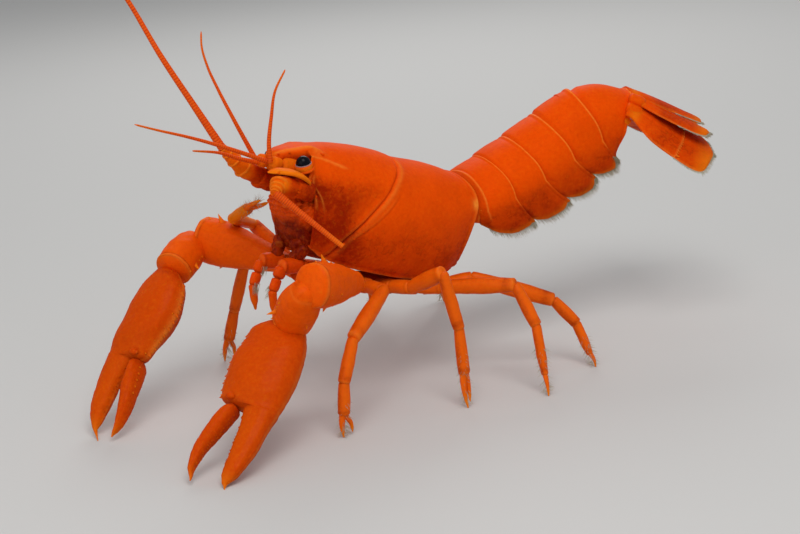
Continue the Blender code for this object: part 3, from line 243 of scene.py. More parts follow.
def cubic(t, step, low, high, low_slope, high_slope):
    """Cubic between two values with the given slopes, at share t of the step."""
    return ((2 * t**3 - 3 * t**2 + 1) * low + (t**3 - 2 * t**2 + t) * step * low_slope
            + (3 * t**2 - 2 * t**3) * high + (t**3 - t**2) * step * high_slope)


def smooth(stations, values, at):
    """Monotone cubic through the stations: each slope is the harmonic mean of its neighbours' slopes."""
    x = np.asarray(stations, float)
    y = np.asarray(values, float)
    slope = np.diff(y) / np.diff(x)
    product = slope[1:] * slope[:-1]
    inner = np.where(product > 0, 2 * product / (slope[1:] + slope[:-1] + np.where(product > 0, 0.0, 1.0)),
                     0.0)
    tangent = np.concatenate([[slope[0]], inner, [slope[-1]]])
    at = np.clip(np.asarray(at, float), x[0], x[-1])
    k = np.clip(np.searchsorted(x, at, side="right") - 1, 0, len(x) - 2)
    step = x[k + 1] - x[k]
    return cubic((at - x[k]) / step, step, y[k], y[k + 1], tangent[k], tangent[k + 1])


def ramp(low, high, value):
    """Smooth step from 0 at low to 1 at high."""
    t = np.clip((np.asarray(value, float) - low) / (high - low), 0.0, 1.0)
    return t * t * (3 - 2 * t)


def bell(distance, width):
    """Gaussian bump: 1 at no distance, falling off over the width."""
    return np.exp(-(distance / width) ** 2)


def unevenness(points, size, seed):
    """Sum of seven sine waves in seeded directions, about -1 to 1, with the given wavelength."""
    rng = np.random.default_rng(seed)
    waves = rng.normal(size=(7, 3))
    phase = rng.uniform(0, 2 * math.pi, 7)
    waves = unit(waves) * (2 * math.pi / size) * rng.uniform(0.7, 1.6, (7, 1))
    return np.sin(points @ waves.T + phase).sum(-1) / 3.5


def path_points(points, count):
    """Smooth path through points: each coordinate is a cubic of the chord length with central slopes."""
    points = np.asarray(points, float)
    chord = np.concatenate([[0.0], np.cumsum(np.linalg.norm(np.diff(points, axis=0), axis=1))])
    at = np.linspace(0.0, chord[-1], count)
    tangent = np.gradient(points, chord, axis=0)
    k = np.clip(np.searchsorted(chord, at, side="right") - 1, 0, len(chord) - 2)
    step = (chord[k + 1] - chord[k])[:, None]
    return cubic((at - chord[k])[:, None] / step, step, points[k], points[k + 1], tangent[k], tangent[k + 1])


def path_axes(path, reference):
    """Tangent, side and up along a path; side is square to the tangent and the reference."""
    tangent = unit(np.gradient(path, axis=0))
    side = unit(np.cross(tangent, reference))
    return tangent, side, np.cross(side, tangent)


def oval_grid(centres, side, up, half_wide, half_high, around, power=2.0):
    """Superellipse rings: side times cos^(2/p) plus up times sin^(2/p), one ring for each centre."""
    angle = np.arange(around) * 2 * math.pi / around
    c, s = np.cos(angle), np.sin(angle)
    x = np.sign(c) * np.abs(c) ** (2.0 / power)
    y = np.sign(s) * np.abs(s) ** (2.0 / power)
    half_wide = np.asarray(half_wide, float)[..., None, None]
    half_high = np.asarray(half_high, float)[..., None, None]
    side = np.broadcast_to(side, np.shape(centres))[..., None, :]
    up = np.broadcast_to(up, np.shape(centres))[..., None, :]
    return np.asarray(centres)[..., None, :] + x[:, None] * half_wide * side + y[:, None] * half_high * up


def grid_normals(grid):
    """Outward unit normals of a grid closed round its columns, by the cross product of its differences."""
    along = np.gradient(grid, axis=0)
    around = np.roll(grid, -1, 1) - np.roll(grid, 1, 1)
    normal = unit(np.cross(along, around))
    outward = grid - grid.mean(axis=1, keepdims=True)
    return normal * (1.0 if (normal * outward).sum() > 0 else -1.0)


class Shell:
    """Points, faces with four and three corners, and named masks of one closed surface."""

    def __init__(self, points, quads, tris, masks=None):
        self.points = np.asarray(points, float).reshape(-1, 3)
        self.quads = np.asarray(quads, np.int64).reshape(-1, 4)
        self.tris = np.asarray(tris, np.int64).reshape(-1, 3)
        self.masks = {name: np.asarray(value, float).reshape(-1) for name, value in (masks or {}).items()}
        if self.volume() < 0:
            self.quads = self.quads[:, ::-1]
            self.tris = self.tris[:, ::-1]

    def volume(self):
        """Signed volume: a sixth of the sum of the triple products of all triangles."""
        q, p = self.quads, self.points - self.points.mean(axis=0)
        t = np.concatenate([self.tris, q[:, [0, 1, 2]], q[:, [0, 2, 3]]])
        return float((p[t[:, 0]] * np.cross(p[t[:, 1]], p[t[:, 2]])).sum() / 6)


def tube_faces(rows, cols):
    """Quads between the rings of a tube, and triangles from its end rings to one middle point at each end."""
    index = np.arange(rows * cols).reshape(rows, cols)
    turned = np.roll(index, -1, 1)
    quads = np.stack([index[:-1], turned[:-1], turned[1:], index[1:]], -1).reshape(-1, 4)
    tris = np.concatenate([
        np.stack([turned[0], index[0], np.full(cols, rows * cols)], -1),
        np.stack([index[-1], turned[-1], np.full(cols, rows * cols + 1)], -1)])
    return quads, tris


def tube_shell(grid, masks=None):
    """Closed shell of rings closed round the columns, with one middle point at each end."""
    rows, cols = grid.shape[:2]
    points = np.concatenate([grid.reshape(-1, 3), [grid[0].mean(0), grid[-1].mean(0)]])
    full = {}
    for name, value in (masks or {}).items():
        value = np.broadcast_to(value, (rows, cols))
        full[name] = np.concatenate([value.reshape(-1), [value[0].mean(), value[-1].mean()]])
    return Shell(points, *tube_faces(rows, cols), full)


def loop_shell(grid, masks=None):
    """Closed ring of tube rows: the last row joins the first."""
    rows, cols = grid.shape[:2]
    index = np.arange(rows * cols).reshape(rows, cols)
    turned, ahead = np.roll(index, -1, 1), np.roll(index, -1, 0)
    quads = np.stack([index, turned, np.roll(turned, -1, 0), ahead], -1).reshape(-1, 4)
    full = {name: np.broadcast_to(value, (rows, cols)) for name, value in (masks or {}).items()}
    return Shell(grid, quads, np.zeros((0, 3)), full)


def torus_loop(centre, across, along, reach, high, thick, masks, cols=10, axis=None):
    """Round rim: a tube of the given thickness along an oval of the given half sizes."""
    turn = np.linspace(0, 2 * math.pi, 49)[:-1]
    out = reach * np.cos(turn)[:, None] * across + high * np.sin(turn)[:, None] * along
    axis = np.cross(across, along) if axis is None else axis
    tube = np.linspace(0, 2 * math.pi, cols + 1)[:-1]
    rows = (centre + out)[:, None] + thick * (
        np.cos(tube)[None, :, None] * unit(out)[:, None] + np.sin(tube)[None, :, None] * axis)
    return loop_shell(rows, masks)


def plate_shell(upper, lower, masks=None):
    """Closed thin plate between two equal open grids, joined all round the border."""
    rows, cols = upper.shape[:2]
    size = rows * cols
    index = np.arange(size).reshape(rows, cols)
    quads = np.stack([index[:-1, :-1], index[:-1, 1:], index[1:, 1:], index[1:, :-1]], -1).reshape(-1, 4)
    rim = np.concatenate([index[0, :-1], index[:-1, -1], index[-1, :0:-1], index[:0:-1, 0]])
    wall = np.stack([rim, rim + size, np.roll(rim, -1) + size, np.roll(rim, -1)], -1)
    points = np.concatenate([upper.reshape(-1, 3), lower.reshape(-1, 3)])
    full = {name: np.tile(np.broadcast_to(value, (rows, cols)).reshape(-1), 2)
            for name, value in (masks or {}).items()}
    return Shell(points, np.concatenate([quads, quads[:, ::-1] + size, wall]), np.zeros((0, 3)), full)


def spines(roots, directions, lengths, radii, masks=None, sides=8):
    """Flared cones: radius falls as (1 - t)^0.8 with a wide foot that starts below the skin."""
    roots, directions = (np.asarray(roots, float).reshape(-1, 3),
                         unit(np.asarray(directions, float).reshape(-1, 3)))
    count = len(roots)
    lengths = np.broadcast_to(lengths, count).astype(float)
    radii = np.broadcast_to(radii, count).astype(float)
    helper = np.where(np.abs(directions[:, 2:]) < 0.8, STRAIGHT_UP, np.array([1.0, 0.0, 0.0]))
    side = unit(np.cross(directions, helper))
    up = np.cross(side, directions)
    t = np.array([-0.3, 0.0, 0.22, 0.5, 0.78, 0.95])
    r = np.array([1.15, 1.1, 0.72, 0.46, 0.24, 0.09])
    angle = np.arange(sides) * 2 * math.pi / sides
    centre = roots[:, None] + directions[:, None] * (t[None, :, None] * lengths[:, None, None])
    spread = (np.cos(angle)[:, None] * side[:, None, None] + np.sin(angle)[:, None] * up[:, None, None])
    ring = centre[:, :, None] + spread * (r[None, :, None, None] * radii[:, None, None, None])
    tip = roots + directions * lengths[:, None]
    block = np.concatenate([ring.reshape(count, -1, 3), centre[:, :1], tip[:, None]], axis=1)
    quads, tris = tube_faces(len(t), sides)
    size = len(t) * sides + 2
    offset = np.arange(count)[:, None, None] * size
    tip_mask = np.concatenate([np.repeat(np.clip(t, 0, 1), sides), [0.0, 1.0]])
    full = {name: np.repeat(np.broadcast_to(value, count), size) for name, value in (masks or {}).items()}
    full.setdefault("tip", np.tile(tip_mask, count) * 0.8)
    return Shell(block, (quads + offset).reshape(-1, 4), (tris + offset).reshape(-1, 3), full)


def hairs(roots, directions, lengths, radius, droop, seed):
    """Setae: three-sided blades that bend by the droop towards the floor and end in a point."""
    rng = np.random.default_rng(seed)
    roots, directions = np.asarray(roots, float).reshape(-1, 3), np.asarray(directions, float).reshape(-1, 3)
    count = len(roots)
    directions = unit(directions + rng.normal(size=(count, 3)) * 0.13)
    lengths = np.broadcast_to(lengths, count) * rng.uniform(0.7, 1.15, count)
    side = unit(np.cross(directions, STRAIGHT_UP + 0.01 * rng.normal(size=(count, 3))))
    up = np.cross(side, directions)
    t = np.array([-0.12, 0.5])
    r = np.array([1.0, 0.6]) * radius
    bend = -STRAIGHT_UP * droop
    angle = np.arange(3) * 2 * math.pi / 3
    spread = np.cos(angle)[:, None] * side[:, None, None] + np.sin(angle)[:, None] * up[:, None, None]
    centre = (roots[:, None] + directions[:, None] * (t[None, :, None] * lengths[:, None, None])
              + bend * (t**2)[None, :, None] * lengths[:, None, None])
    ring = centre[:, :, None] + spread * r[None, :, None, None]
    tip = roots + (directions + bend) * lengths[:, None]
    block = np.concatenate([ring.reshape(count, -1, 3), tip[:, None]], axis=1)
    quads = np.array([[0, 1, 4, 3], [1, 2, 5, 4], [2, 0, 3, 5]])
    tris = np.array([[2, 1, 0], [3, 4, 6], [4, 5, 6], [5, 3, 6]])
    offset = np.arange(count)[:, None, None] * 7
    shell = Shell(block, (quads + offset).reshape(-1, 4), (tris + offset).reshape(-1, 3))
    shell.hair_count = count
    return shell


def joined_arrays(shells):
    """Points, quads and triangles of several shells as one set, with the corner numbers counted on."""
    base = np.cumsum([0] + [len(shell.points) for shell in shells])
    return (np.concatenate([shell.points for shell in shells]),
            np.concatenate([shell.quads + first for shell, first in zip(shells, base)]),
            np.concatenate([shell.tris + first for shell, first in zip(shells, base)]))


def make_piece(name, shells, look, nodes):
    """Joins shells in one mesh in metres, gives it its look and slot, and takes the place of its nodes."""
    points, quads, tris = joined_arrays(shells)
    points = points * MM + SHIFT
    mesh = bpy.data.meshes.new(name)
    mesh.vertices.add(len(points))
    mesh.vertices.foreach_set("co", points.astype(np.float32).ravel())
    corners = np.concatenate([quads.ravel(), tris.ravel()])
    totals = np.concatenate([np.full(len(quads), 4), np.full(len(tris), 3)])
    mesh.loops.add(len(corners))
    mesh.loops.foreach_set("vertex_index", corners.astype(np.int32))
    mesh.polygons.add(len(totals))
    mesh.polygons.foreach_set("loop_start", np.concatenate([[0], np.cumsum(totals)[:-1]]).astype(np.int32))
    mesh.polygons.foreach_set("loop_total", totals.astype(np.int32))
    mesh.update(calc_edges=True)
    mesh.shade_smooth()
    mesh.set_sharp_from_angle(angle=SHARP_ANGLE)
    for mask in ("light", "dark", "tip"):
        values = np.concatenate([np.broadcast_to(shell.masks.get(mask, 0.0), len(shell.points))
                                 for shell in shells])
        layer = mesh.attributes.new(mask, "FLOAT", "POINT")
        layer.data.foreach_set("value", np.clip(values, 0.0, 1.0).astype(np.float32))
    mesh.materials.append(finish(look))
    piece = bpy.data.objects.new(name, mesh)
    bpy.context.scene.collection.objects.link(piece)
    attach(piece, "root")
    if nodes:
        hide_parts(*nodes)
    return piece


def patch_map(piece, shell):
    """UV map of a fringe: each hair is a tiny patch at its root's place, seen flat from above and beside."""
    count = shell.hair_count
    roots = shell.points.reshape(count, HAIR_POINTS, 3)[:, :3].mean(1)
    low, high = roots.min(0), roots.max(0)
    place = np.clip((roots - low) / (high - low + 1e-9), 0, 1)
    centre = np.stack([place[:, 0], 0.5 * place[:, 1] + 0.5 * place[:, 2]], -1) * 0.98 + 0.01
    turn = np.arange(HAIR_POINTS) * 0.9
    corner = np.stack([np.cos(turn), np.sin(turn)], -1) * PATCH_RADIUS
    uv = (centre[:, None] + corner[None]).reshape(-1, 2)
    layer = piece.data.uv_layers.new(name="OFBake")
    vertex = np.empty(len(piece.data.loops), np.int32)
    piece.data.loops.foreach_get("vertex_index", vertex)
    layer.data.foreach_set("uv", uv[vertex].astype(np.float32).ravel())


def make_fringe(name, shells):
    """Joins hair shells, in order, in one fringe piece with its bake map."""
    joined = Shell(*joined_arrays(shells))
    joined.hair_count = sum(shell.hair_count for shell in shells)
    patch_map(make_piece(name, [joined], "setae", []), joined)


def base_shift():
    """Row shift of the floor frame in metres, read from the low corner of the sternum block."""
    outline = [(2.5, 3.2), (8.0, 3.9), (16.0, 4.2), (24.0, 4.6), (30.0, 3.6)]
    corners = [body_point(a, s * h, z) for a, h in outline for s in (1, -1) for z in (-20.2, -22.1)]
    corners += [body_point(a, 0.0, -23.2) for a, _ in outline]
    low = np.min(corners, axis=0)
    return np.array([float(v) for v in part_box("sternum")[0]]) - low * MM


SHIFT = base_shift()


# Materials


def set_inputs(node, values):
    """Writes fixed values to the named inputs of a node."""
    for name, value in values.items():
        node.inputs[name].default_value = value


def material_tree(name):
    """New node material with its Principled shader, and a short way to add and join nodes."""
    material = bpy.data.materials.new(name)
    material.use_nodes = True
    tree = material.node_tree
    shader = tree.nodes["Principled BSDF"]

    def add(kind, links=None, **settings):
        node = tree.nodes.new(kind)
        for key, value in settings.items():
            setattr(node, key, value)
        for key, value in (links or {}).items():
            if isinstance(value, bpy.types.NodeSocket):
                tree.links.new(value, node.inputs[key])
            else:
                node.inputs[key].default_value = value
        return node

    return material, tree, shader, add


def skin_group():
    """Shared shell pattern: mottled base, winding marks, pale lines and dots, tips and a height."""
    group = bpy.data.node_groups.new("shell_pattern", "ShaderNodeTree")
    for way, kind, names in (
        ("INPUT", "Color", ("Base", "Deep", "Pale", "Tip")),
        ("INPUT", "Float", ("Light", "Dark", "End", "Mottle", "Grain", "Gloss")),
        ("OUTPUT", "Color", ("Color",)), ("OUTPUT", "Float", ("Roughness", "Height")),
    ):
        for name in names:
            group.interface.new_socket(name=name, in_out=way, socket_type="NodeSocket" + kind)
    nodes, links = group.nodes, group.links
    base, deep, pale, tip, light, dark, end, mottle, grain, gloss, _ = nodes.new("NodeGroupInput").outputs
    out = nodes.new("NodeGroupOutput")
    place = nodes.new("ShaderNodeTexCoord").outputs["Object"]

    def texture(kind, **values):
        node = nodes.new("ShaderNodeTex" + kind)
        links.new(place, node.inputs["Vector"])
        set_inputs(node, values)
        return node

    def maths(operation, a, b=0.0, clamp=False):
        node = nodes.new("ShaderNodeMath")
        node.operation = operation
        node.use_clamp = clamp
        for socket, value in zip(node.inputs, (a, b)):
            if isinstance(value, bpy.types.NodeSocket):
                links.new(value, socket)
            else:
                socket.default_value = value
        return node.outputs[0]

    def mix(factor, a, b):
        node = nodes.new("ShaderNodeMix")
        node.data_type = "RGBA"
        for name, socket in (("Factor", factor), ("A", a), ("B", b)):
            links.new(socket, node.inputs[name])
        return node.outputs["Result"]

    def times(a, b, clamp=False):
        return maths("MULTIPLY", a, b, clamp)

    def plus(a, b, clamp=False):
        return maths("ADD", a, b, clamp)

    def minus(a, b, clamp=False):
        return maths("SUBTRACT", a, b, clamp)

    blotch = texture("Noise", Scale=190.0, Detail=5.0, Roughness=0.6).outputs["Fac"]
    fine = texture("Noise", Scale=1500.0, Detail=3.0, Roughness=0.6).outputs["Fac"]
    cells = texture("Voronoi", Scale=2300.0).outputs["Distance"]
    pits = times(minus(0.5, cells, True), grain)
    stain = plus(times(minus(blotch, 0.44, True), mottle), times(minus(0.5, fine, True), grain), True)
    shade = times(plus(times(blotch, 1.3), 0.1), dark, True)
    colour = mix(plus(stain, shade, True), base, deep)
    curl = texture("Noise", Scale=620.0, Detail=2.0, Roughness=0.5, Distortion=0.8).outputs["Fac"]
    winding = minus(1.0, times(maths("ABSOLUTE", minus(curl, 0.5)), 15.0), True)
    marks = times(times(winding, maths("GREATER_THAN", blotch, 0.5)), times(dark, 0.8))
    colour = mix(marks, colour, deep)
    colour = mix(times(minus(fine, 0.52, True), 0.5), colour, tip)
    colour = mix(times(light, plus(fine, 0.4), True), colour, pale)
    colour = mix(end, colour, tip)
    dots = texture("Voronoi", Scale=300.0)
    near = minus(1.0, times(dots.outputs["Distance"], 16.0), True)
    chosen = nodes.new("ShaderNodeSeparateColor")
    links.new(dots.outputs["Color"], chosen.inputs["Color"])
    dot = times(near, maths("GREATER_THAN", chosen.outputs["Red"], 0.72))
    links.new(mix(times(dot, 0.6), colour, pale), out.inputs["Color"])
    links.new(plus(gloss, times(fine, 0.16)), out.inputs["Roughness"])
    links.new(plus(times(pits, -1.0), times(fine, 0.35)), out.inputs["Height"])
    return group


def shell_finish(name, base, deep, pale, tip, mottle, grain, gloss, coat, depth):
    """Shell material: the shared pattern drives colour, roughness and bump; light sinks in a little."""
    material, tree, shader, add = material_tree(name)
    pattern = tree.nodes.new("ShaderNodeGroup")
    pattern.node_tree = bpy.data.node_groups.get("shell_pattern") or skin_group()
    for socket, attribute in (("Light", "light"), ("Dark", "dark"), ("End", "tip")):
        tree.links.new(add("ShaderNodeAttribute", attribute_name=attribute).outputs["Fac"],
                       pattern.inputs[socket])
    for socket, colour in (("Base", base), ("Deep", deep), ("Pale", pale), ("Tip", tip)):
        pattern.inputs[socket].default_value = (*colour[:3], 1.0)
    set_inputs(pattern, {"Mottle": mottle, "Grain": grain, "Gloss": gloss})
    tree.links.new(pattern.outputs["Color"], shader.inputs["Base Color"])
    tree.links.new(pattern.outputs["Roughness"], shader.inputs["Roughness"])
    bump = add("ShaderNodeBump", {"Height": pattern.outputs["Height"], "Strength": 0.45, "Distance": 0.00014})
    tree.links.new(bump.outputs["Normal"], shader.inputs["Normal"])
    set_inputs(shader, {
        "Coat Weight": coat, "Coat Roughness": 0.3, "IOR": 1.25, "Specular IOR Level": 0.07,
        "Specular Tint": (1.0, 0.5, 0.2, 1.0), "Subsurface Weight": 0.12,
        "Subsurface Radius": (1.0, 0.12, 0.02),
        "Subsurface Scale": depth})
    return material


def finish(name):
    """Material of one finish, made once from the colours in the panel."""
    made = bpy.data.materials.get(name)
    if made is not None:
        return made
    colours = bpy.context.scene.crayfish_colours
    if name == "cornea":
        return cornea_finish(name, colours.cornea, colours.eye_rim)
    if name == "setae":
        return hair_finish(name, colours.hair)
    main_colour, second, share, deep, *rest = FINISHES[name]
    pairs = zip(getattr(colours, main_colour), getattr(colours, second))
    base = tuple((1 - share) * a + share * b for a, b in pairs)
    return shell_finish(name, base, getattr(colours, deep), colours.pale_line, colours.yellow_edge, *rest)


def cornea_finish(name, dark, rim):
    """Wet black eye with a fine facet bump and a pale grey rim where it meets the stalk."""
    material, tree, shader, add = material_tree(name)
    place = add("ShaderNodeTexCoord").outputs["Object"]
    facets = add("ShaderNodeTexVoronoi", {"Vector": place, "Scale": 9000.0})
    light = add("ShaderNodeAttribute", attribute_name="light").outputs["Fac"]
    mix = add("ShaderNodeMix", {"Factor": light, "A": (*dark, 1.0), "B": (*rim, 1.0)}, data_type="RGBA")
    tree.links.new(mix.outputs["Result"], shader.inputs["Base Color"])
    bump = add("ShaderNodeBump",
               {"Height": facets.outputs["Distance"], "Strength": 0.03, "Distance": 0.00002})
    tree.links.new(bump.outputs["Normal"], shader.inputs["Normal"])
    set_inputs(shader, {"Roughness": 0.2, "Specular IOR Level": 0.1})
    return material


def hair_finish(name, colour):
    """Pale horny hair, a little lighter and darker from tuft to tuft."""
    material, tree, shader, add = material_tree(name)
    place = add("ShaderNodeTexCoord").outputs["Object"]
    patches = add("ShaderNodeTexNoise", {"Vector": place, "Scale": 900.0, "Detail": 2.0}).outputs["Fac"]
    darker = tuple(channel * 0.62 for channel in colour)
    mix = add("ShaderNodeMix", {"Factor": patches, "A": (*colour, 1.0), "B": (*darker, 1.0)},
              data_type="RGBA")
    tree.links.new(mix.outputs["Result"], shader.inputs["Base Color"])
    set_inputs(shader, {"Roughness": 0.5, "Subsurface Weight": 0.2, "Subsurface Scale": 0.001})
    return material


# Carapace and head


def carapace_section(ahead, share):
    """Side distance and height at a share of the way from the top line to the margin.

    Above the widest line it is a quarter of an oval, below it an arc of 70 degrees that tucks in.
    """
    top, half, widest, margin, margin_half = [smooth(STATIONS, values, ahead) for values in (
        TOP_HEIGHT, HALF_WIDTH, WIDEST_HEIGHT, MARGIN_HEIGHT, MARGIN_HALF_WIDTH)]
    upper = np.clip(share / WIDEST_SHARE, 0.0, 1.0) * math.pi / 2
    lower = np.clip((share - WIDEST_SHARE) / 0.42, 0.0, 1.0) * TUCK_ANGLE
    fall = (1 - np.cos(lower)) / (1 - math.cos(TUCK_ANGLE))
    sink = np.sin(lower) / math.sin(TUCK_ANGLE)
    side = half * np.sin(upper) - (half - margin_half) * fall
    return side, widest + (top - widest) * np.cos(upper) - (widest - margin) * sink


def groove_ahead(share):
    """Distance ahead of the neck groove at each share."""
    return smooth((0.0, 0.2, 0.4, 0.6, 0.8, 1.0), (16.2, 16.8, 19.8, 24.2, 28.3, 30.4), share)


def front_edge(share):
    """Front edge: the beak in the middle, a bay over the eye, a corner below it, then back to the mouth."""
    beak = np.interp(share * BEAK_SPREAD, (0.0, 0.12, 1.2, 2.1, 2.9, 3.6),
                     (41.7, 41.65, 41.1, 39.6, 37.4, 35.2))
    bay = 34.9 + 0.75 * bell(share - 0.36, 0.08) + 1.5 * bell(share - 0.49, 0.07)
    side = bay - 3.6 * np.clip(share - 0.42, 0, 1) ** 1.2
    return np.where(share < BEAK_SHARE, beak, side)


def build_carapace():
    """Carapace with beak: the section swept from rear to front edge, pushed out along its normals.

    Push = a lip behind the neck groove less the narrow groove, plus a shorter second fold, ridges behind
    the eyes, a rim on the rear edge, folds at the cheek's front corner and low cheek wrinkles.
    """
    form = bpy.context.scene.crayfish_form
    share = np.concatenate([np.linspace(0, BEAK_SHARE, 26, endpoint=False), np.linspace(BEAK_END, 1.0, 88)])
    around = np.concatenate([-share[::-1], share[1:]])
    s = np.abs(around)[None, :]
    sign = np.sign(around)[None, :]
    rear = -1.8 * np.sin(np.clip(s * 1.15, 0, 1) * math.pi) ** 1.5
    front = front_edge(s)
    groove = groove_ahead(s)
    x = np.linspace(0, 1, 96)
    behind = rear + (0.25 * x + 0.75 * (1 - (1 - x) ** 1.9))[:, None] * (groove - rear)
    x = np.linspace(0, 1, 112)[1:]
    before = groove + (0.35 * x + 0.65 * x ** 1.9)[:, None] * (front - groove)
    ahead = np.concatenate([behind, before])
    side, height = carapace_section(ahead, s)
    beak = ramp(30.5, 35.2, ahead) * (s < BEAK_END)
    width = smooth(ROSTRUM_STATIONS, ROSTRUM_HALF_WIDTH, ahead)
    flat_side = np.minimum(s * BEAK_SPREAD, 3.6)
    near_edge = np.clip(np.abs(flat_side) / np.maximum(width, 0.1), 0, 1)
    keel = smooth(ROSTRUM_STATIONS, ROSTRUM_TOP, ahead)
    beak_height = keel + 0.2 * bell(near_edge - 0.8, 0.14) - 0.1 * (1 - near_edge) - 1.0 * near_edge ** 3
    side = side * (1 - beak) + flat_side * beak
    height = height * (1 - beak) + beak_height * beak
    outer = body_point(ahead, side * sign, height)
    normal = unit(np.cross(np.gradient(outer, axis=0), np.gradient(outer, axis=1)))
    centre = body_point(ahead, 0.0, -9.0)
    normal = normal * np.where(((normal * (outer - centre)).sum(-1) > 0), 1.0, -1.0)[..., None]
    gap, from_rear, to_front, slant = ahead - groove, ahead - rear, front - ahead, s - 0.5
    deep = ramp(0.03, 0.14, s)
    low = ramp(0.4, 0.62, s)
    push = -form.groove_depth * PER_METRE * bell(gap, 0.24) * (0.3 + 0.5 * deep)
    push = push + 0.1 * bell(gap + 0.9, 0.6) * deep + (0.1 + 0.1 * low) * bell(gap - 0.8, 0.6) * deep
    second = ahead - smooth((0.42, 0.5, 0.6, 0.7, 0.78), (17.9, 19.4, 21.8, 24.7, 27.2), s)
    span = ramp(0.42, 0.5, s) * (1 - ramp(0.7, 0.78, s))
    push = push - 0.08 * bell(second + 0.1, 0.3) * span + 0.08 * bell(second - 0.5, 0.45) * span
    line = s - smooth((26.5, 29.0, 33.5), (0.345, 0.325, 0.27), ahead)
    push = push + 0.16 * bell(line, 0.02) * ramp(26.5, 29.0, ahead) * (1 - beak)
    push = push + 0.16 * bell(from_rear - 0.3, 0.28) - 0.1 * bell(from_rear - 1.0, 0.35)
    push = push + 0.1 * bell(s - 0.985, 0.012) - 0.07 * bell(s - 0.955, 0.014)
    cheek = ramp(0.0, 2.5, gap) * ramp(0.36, 0.55, s) * (1 - beak)
    push = (push + 0.05 * unevenness(outer, 1.7, 3) * cheek * ramp(0.0, 6.0, gap)
            + 0.04 * unevenness(outer, 9.0, 4))
    push = push + 0.012 * unevenness(outer, 0.9, 5)
    push = (push + 0.16 * bell(to_front - 0.3, 0.3) * (s > 0.26) + 0.3 * bell(s - 0.345, 0.06)
            * bell(to_front - 0.4, 0.5))
    corner = ramp(0.41, 0.46, s) * (1 - ramp(0.58, 0.68, s))
    push = push + (0.14 * bell(to_front - 1.3 - 3.0 * slant, 0.25)
                   - 0.16 * bell(to_front - 0.85 - 2.0 * slant, 0.2)) * corner
    outer = outer + normal * push[..., None]
    inward_left = outer[:, -1] - 0.75 * BODY_LEFT + 0.25 * BODY_UP
    inward_right = outer[:, 0] + 0.75 * BODY_LEFT + 0.25 * BODY_UP
    belly = [inward_left * (1 - t) + inward_right * t + BODY_UP * 0.9 * math.sin(math.pi * t)
             for t in np.linspace(0, 1, BELLY_COLUMNS)]
    ring = np.concatenate([outer, np.stack(belly, axis=1)], axis=1)
    core = body_point(np.array(1.6), 0.0, -8.0)
    inside = ring[0] * 0.94 + (core * 0.06)
    rear_rows = [inside + BODY_AHEAD * 2.6, inside + BODY_AHEAD * 0.35, ring[0] * 0.975 + core * 0.025
                 - BODY_AHEAD * 0.02]
    face = body_point(np.array(32.6), 0.0, -8.5)
    last = ring[-1]
    beak_row = np.concatenate([(s[0] < BEAK_END), np.zeros(BELLY_COLUMNS, bool)])[:, None]
    under = np.where(beak_row, last - BODY_UP * 0.8 - BODY_AHEAD * 0.25, last * 0.97 + face * 0.03
                     - BODY_AHEAD * 0.15)
    level = (under - BODY_ORIGIN) @ BODY_AHEAD
    base = under + (np.minimum(level, 34.2) - level)[:, None] * BODY_AHEAD
    base = np.where(beak_row, base - BODY_UP * 0.5, base)
    rows = np.concatenate([np.stack(rear_rows), ring,
                           np.stack([under, base, base * 0.9 + face * 0.1 - BODY_AHEAD * 1.2])])

    def whole(skin, belly=0.0, behind=(0.0, 0.0, 0.0), before=(0.0, 0.0, 0.0)):
        """Mask of all rows: the skin and its belly columns, between three rows behind and three before."""
        skin = np.concatenate([skin, np.full((len(skin), BELLY_COLUMNS), belly)], 1)
        behind, before = [np.repeat(np.array(values)[:, None], skin.shape[1], 1)
                          for values in (behind, before)]
        return np.concatenate([behind, skin, before])

    upper = 1 - ramp(0.45, 0.7, s)
    rear_rim = ramp(0.1, 0.3, s) * (1 - ramp(0.75, 0.95, s))
    light = (1.0 * bell(from_rear - 0.6, 0.95) * bell(s - 0.47, 0.05) + 0.5 * bell(from_rear - 0.25, 0.22)
             * rear_rim
             + (0.1 + 0.22 * upper) * bell(gap + 0.8, 0.5) * ramp(0.06, 0.2, s)
             + 0.2 * low * bell(gap - 0.55, 0.3)
             + 0.12 * bell(second - 0.5, 0.3) * span + 0.3 * bell(s - 0.99, 0.01))
    light = (light + 0.6 * bell(near_edge - 0.82, 0.09) * beak + 0.5 * bell(line, 0.012)
             * ramp(28.0, 30.0, ahead) * (1 - beak))
    fold_line = 0.45 * bell(to_front - 0.35, 0.2) + 0.35 * bell(to_front - 1.3 - 3.0 * slant, 0.2)
    light = light + fold_line * corner
    # Dark mask: the cheek mottling is the carapace's own colour; the darkening toward the lower margin, low
    # at the front and in the neck grooves is painted shade
    dark = (0.9 * cheek * bell((s - 0.6) / 0.24, 1.0) * ramp(1.5, 7.0, gap) + 0.4 * cheek
            + 0.6 * ramp(0.5, 0.9, s))
    dark = (dark + 0.5 * ramp(31.0, 35.0, ahead) * ramp(0.5, 0.62, s) + 0.7 * ramp(0.6, 0.8, s)
            * ramp(22.0, 30.0, ahead))
    dark = dark + 0.45 * bell(gap, 0.14) * deep * (0.4 + 0.6 * low) + 0.12 * bell(second + 0.05, 0.15) * span
    # The belly columns and the inner rows behind and before are darkened as painted shade inside and under
    # the carapace
    shells = [tube_shell(rows, {
        "light": whole(light), "dark": whole(dark, 1.0, (1.0, 1.0, 0.0), (0.4, 0.8, 1.0)),
        "tip": whole(0.25 * ramp(39.8, 41.6, ahead) * beak)})]
    found = []
    for _, way in SIDES:
        for a, half, level in ((40.3, 1.6, -0.9), (38.6, 2.4, -0.4)):
            found.append((body_point(a, half * way, level), BODY_AHEAD + way * 0.45 * BODY_LEFT
                          + 0.3 * BODY_UP, 0.45, 0.22))
        found.append((body_point(32.8, 4.1 * way, 0.2), BODY_AHEAD + 0.3 * BODY_UP + 0.15 * way * BODY_LEFT,
                      0.6, 0.3))
        for share, size in ((0.62, 0.2), (0.69, 0.4), (0.745, 0.3), (0.8, 0.24)):
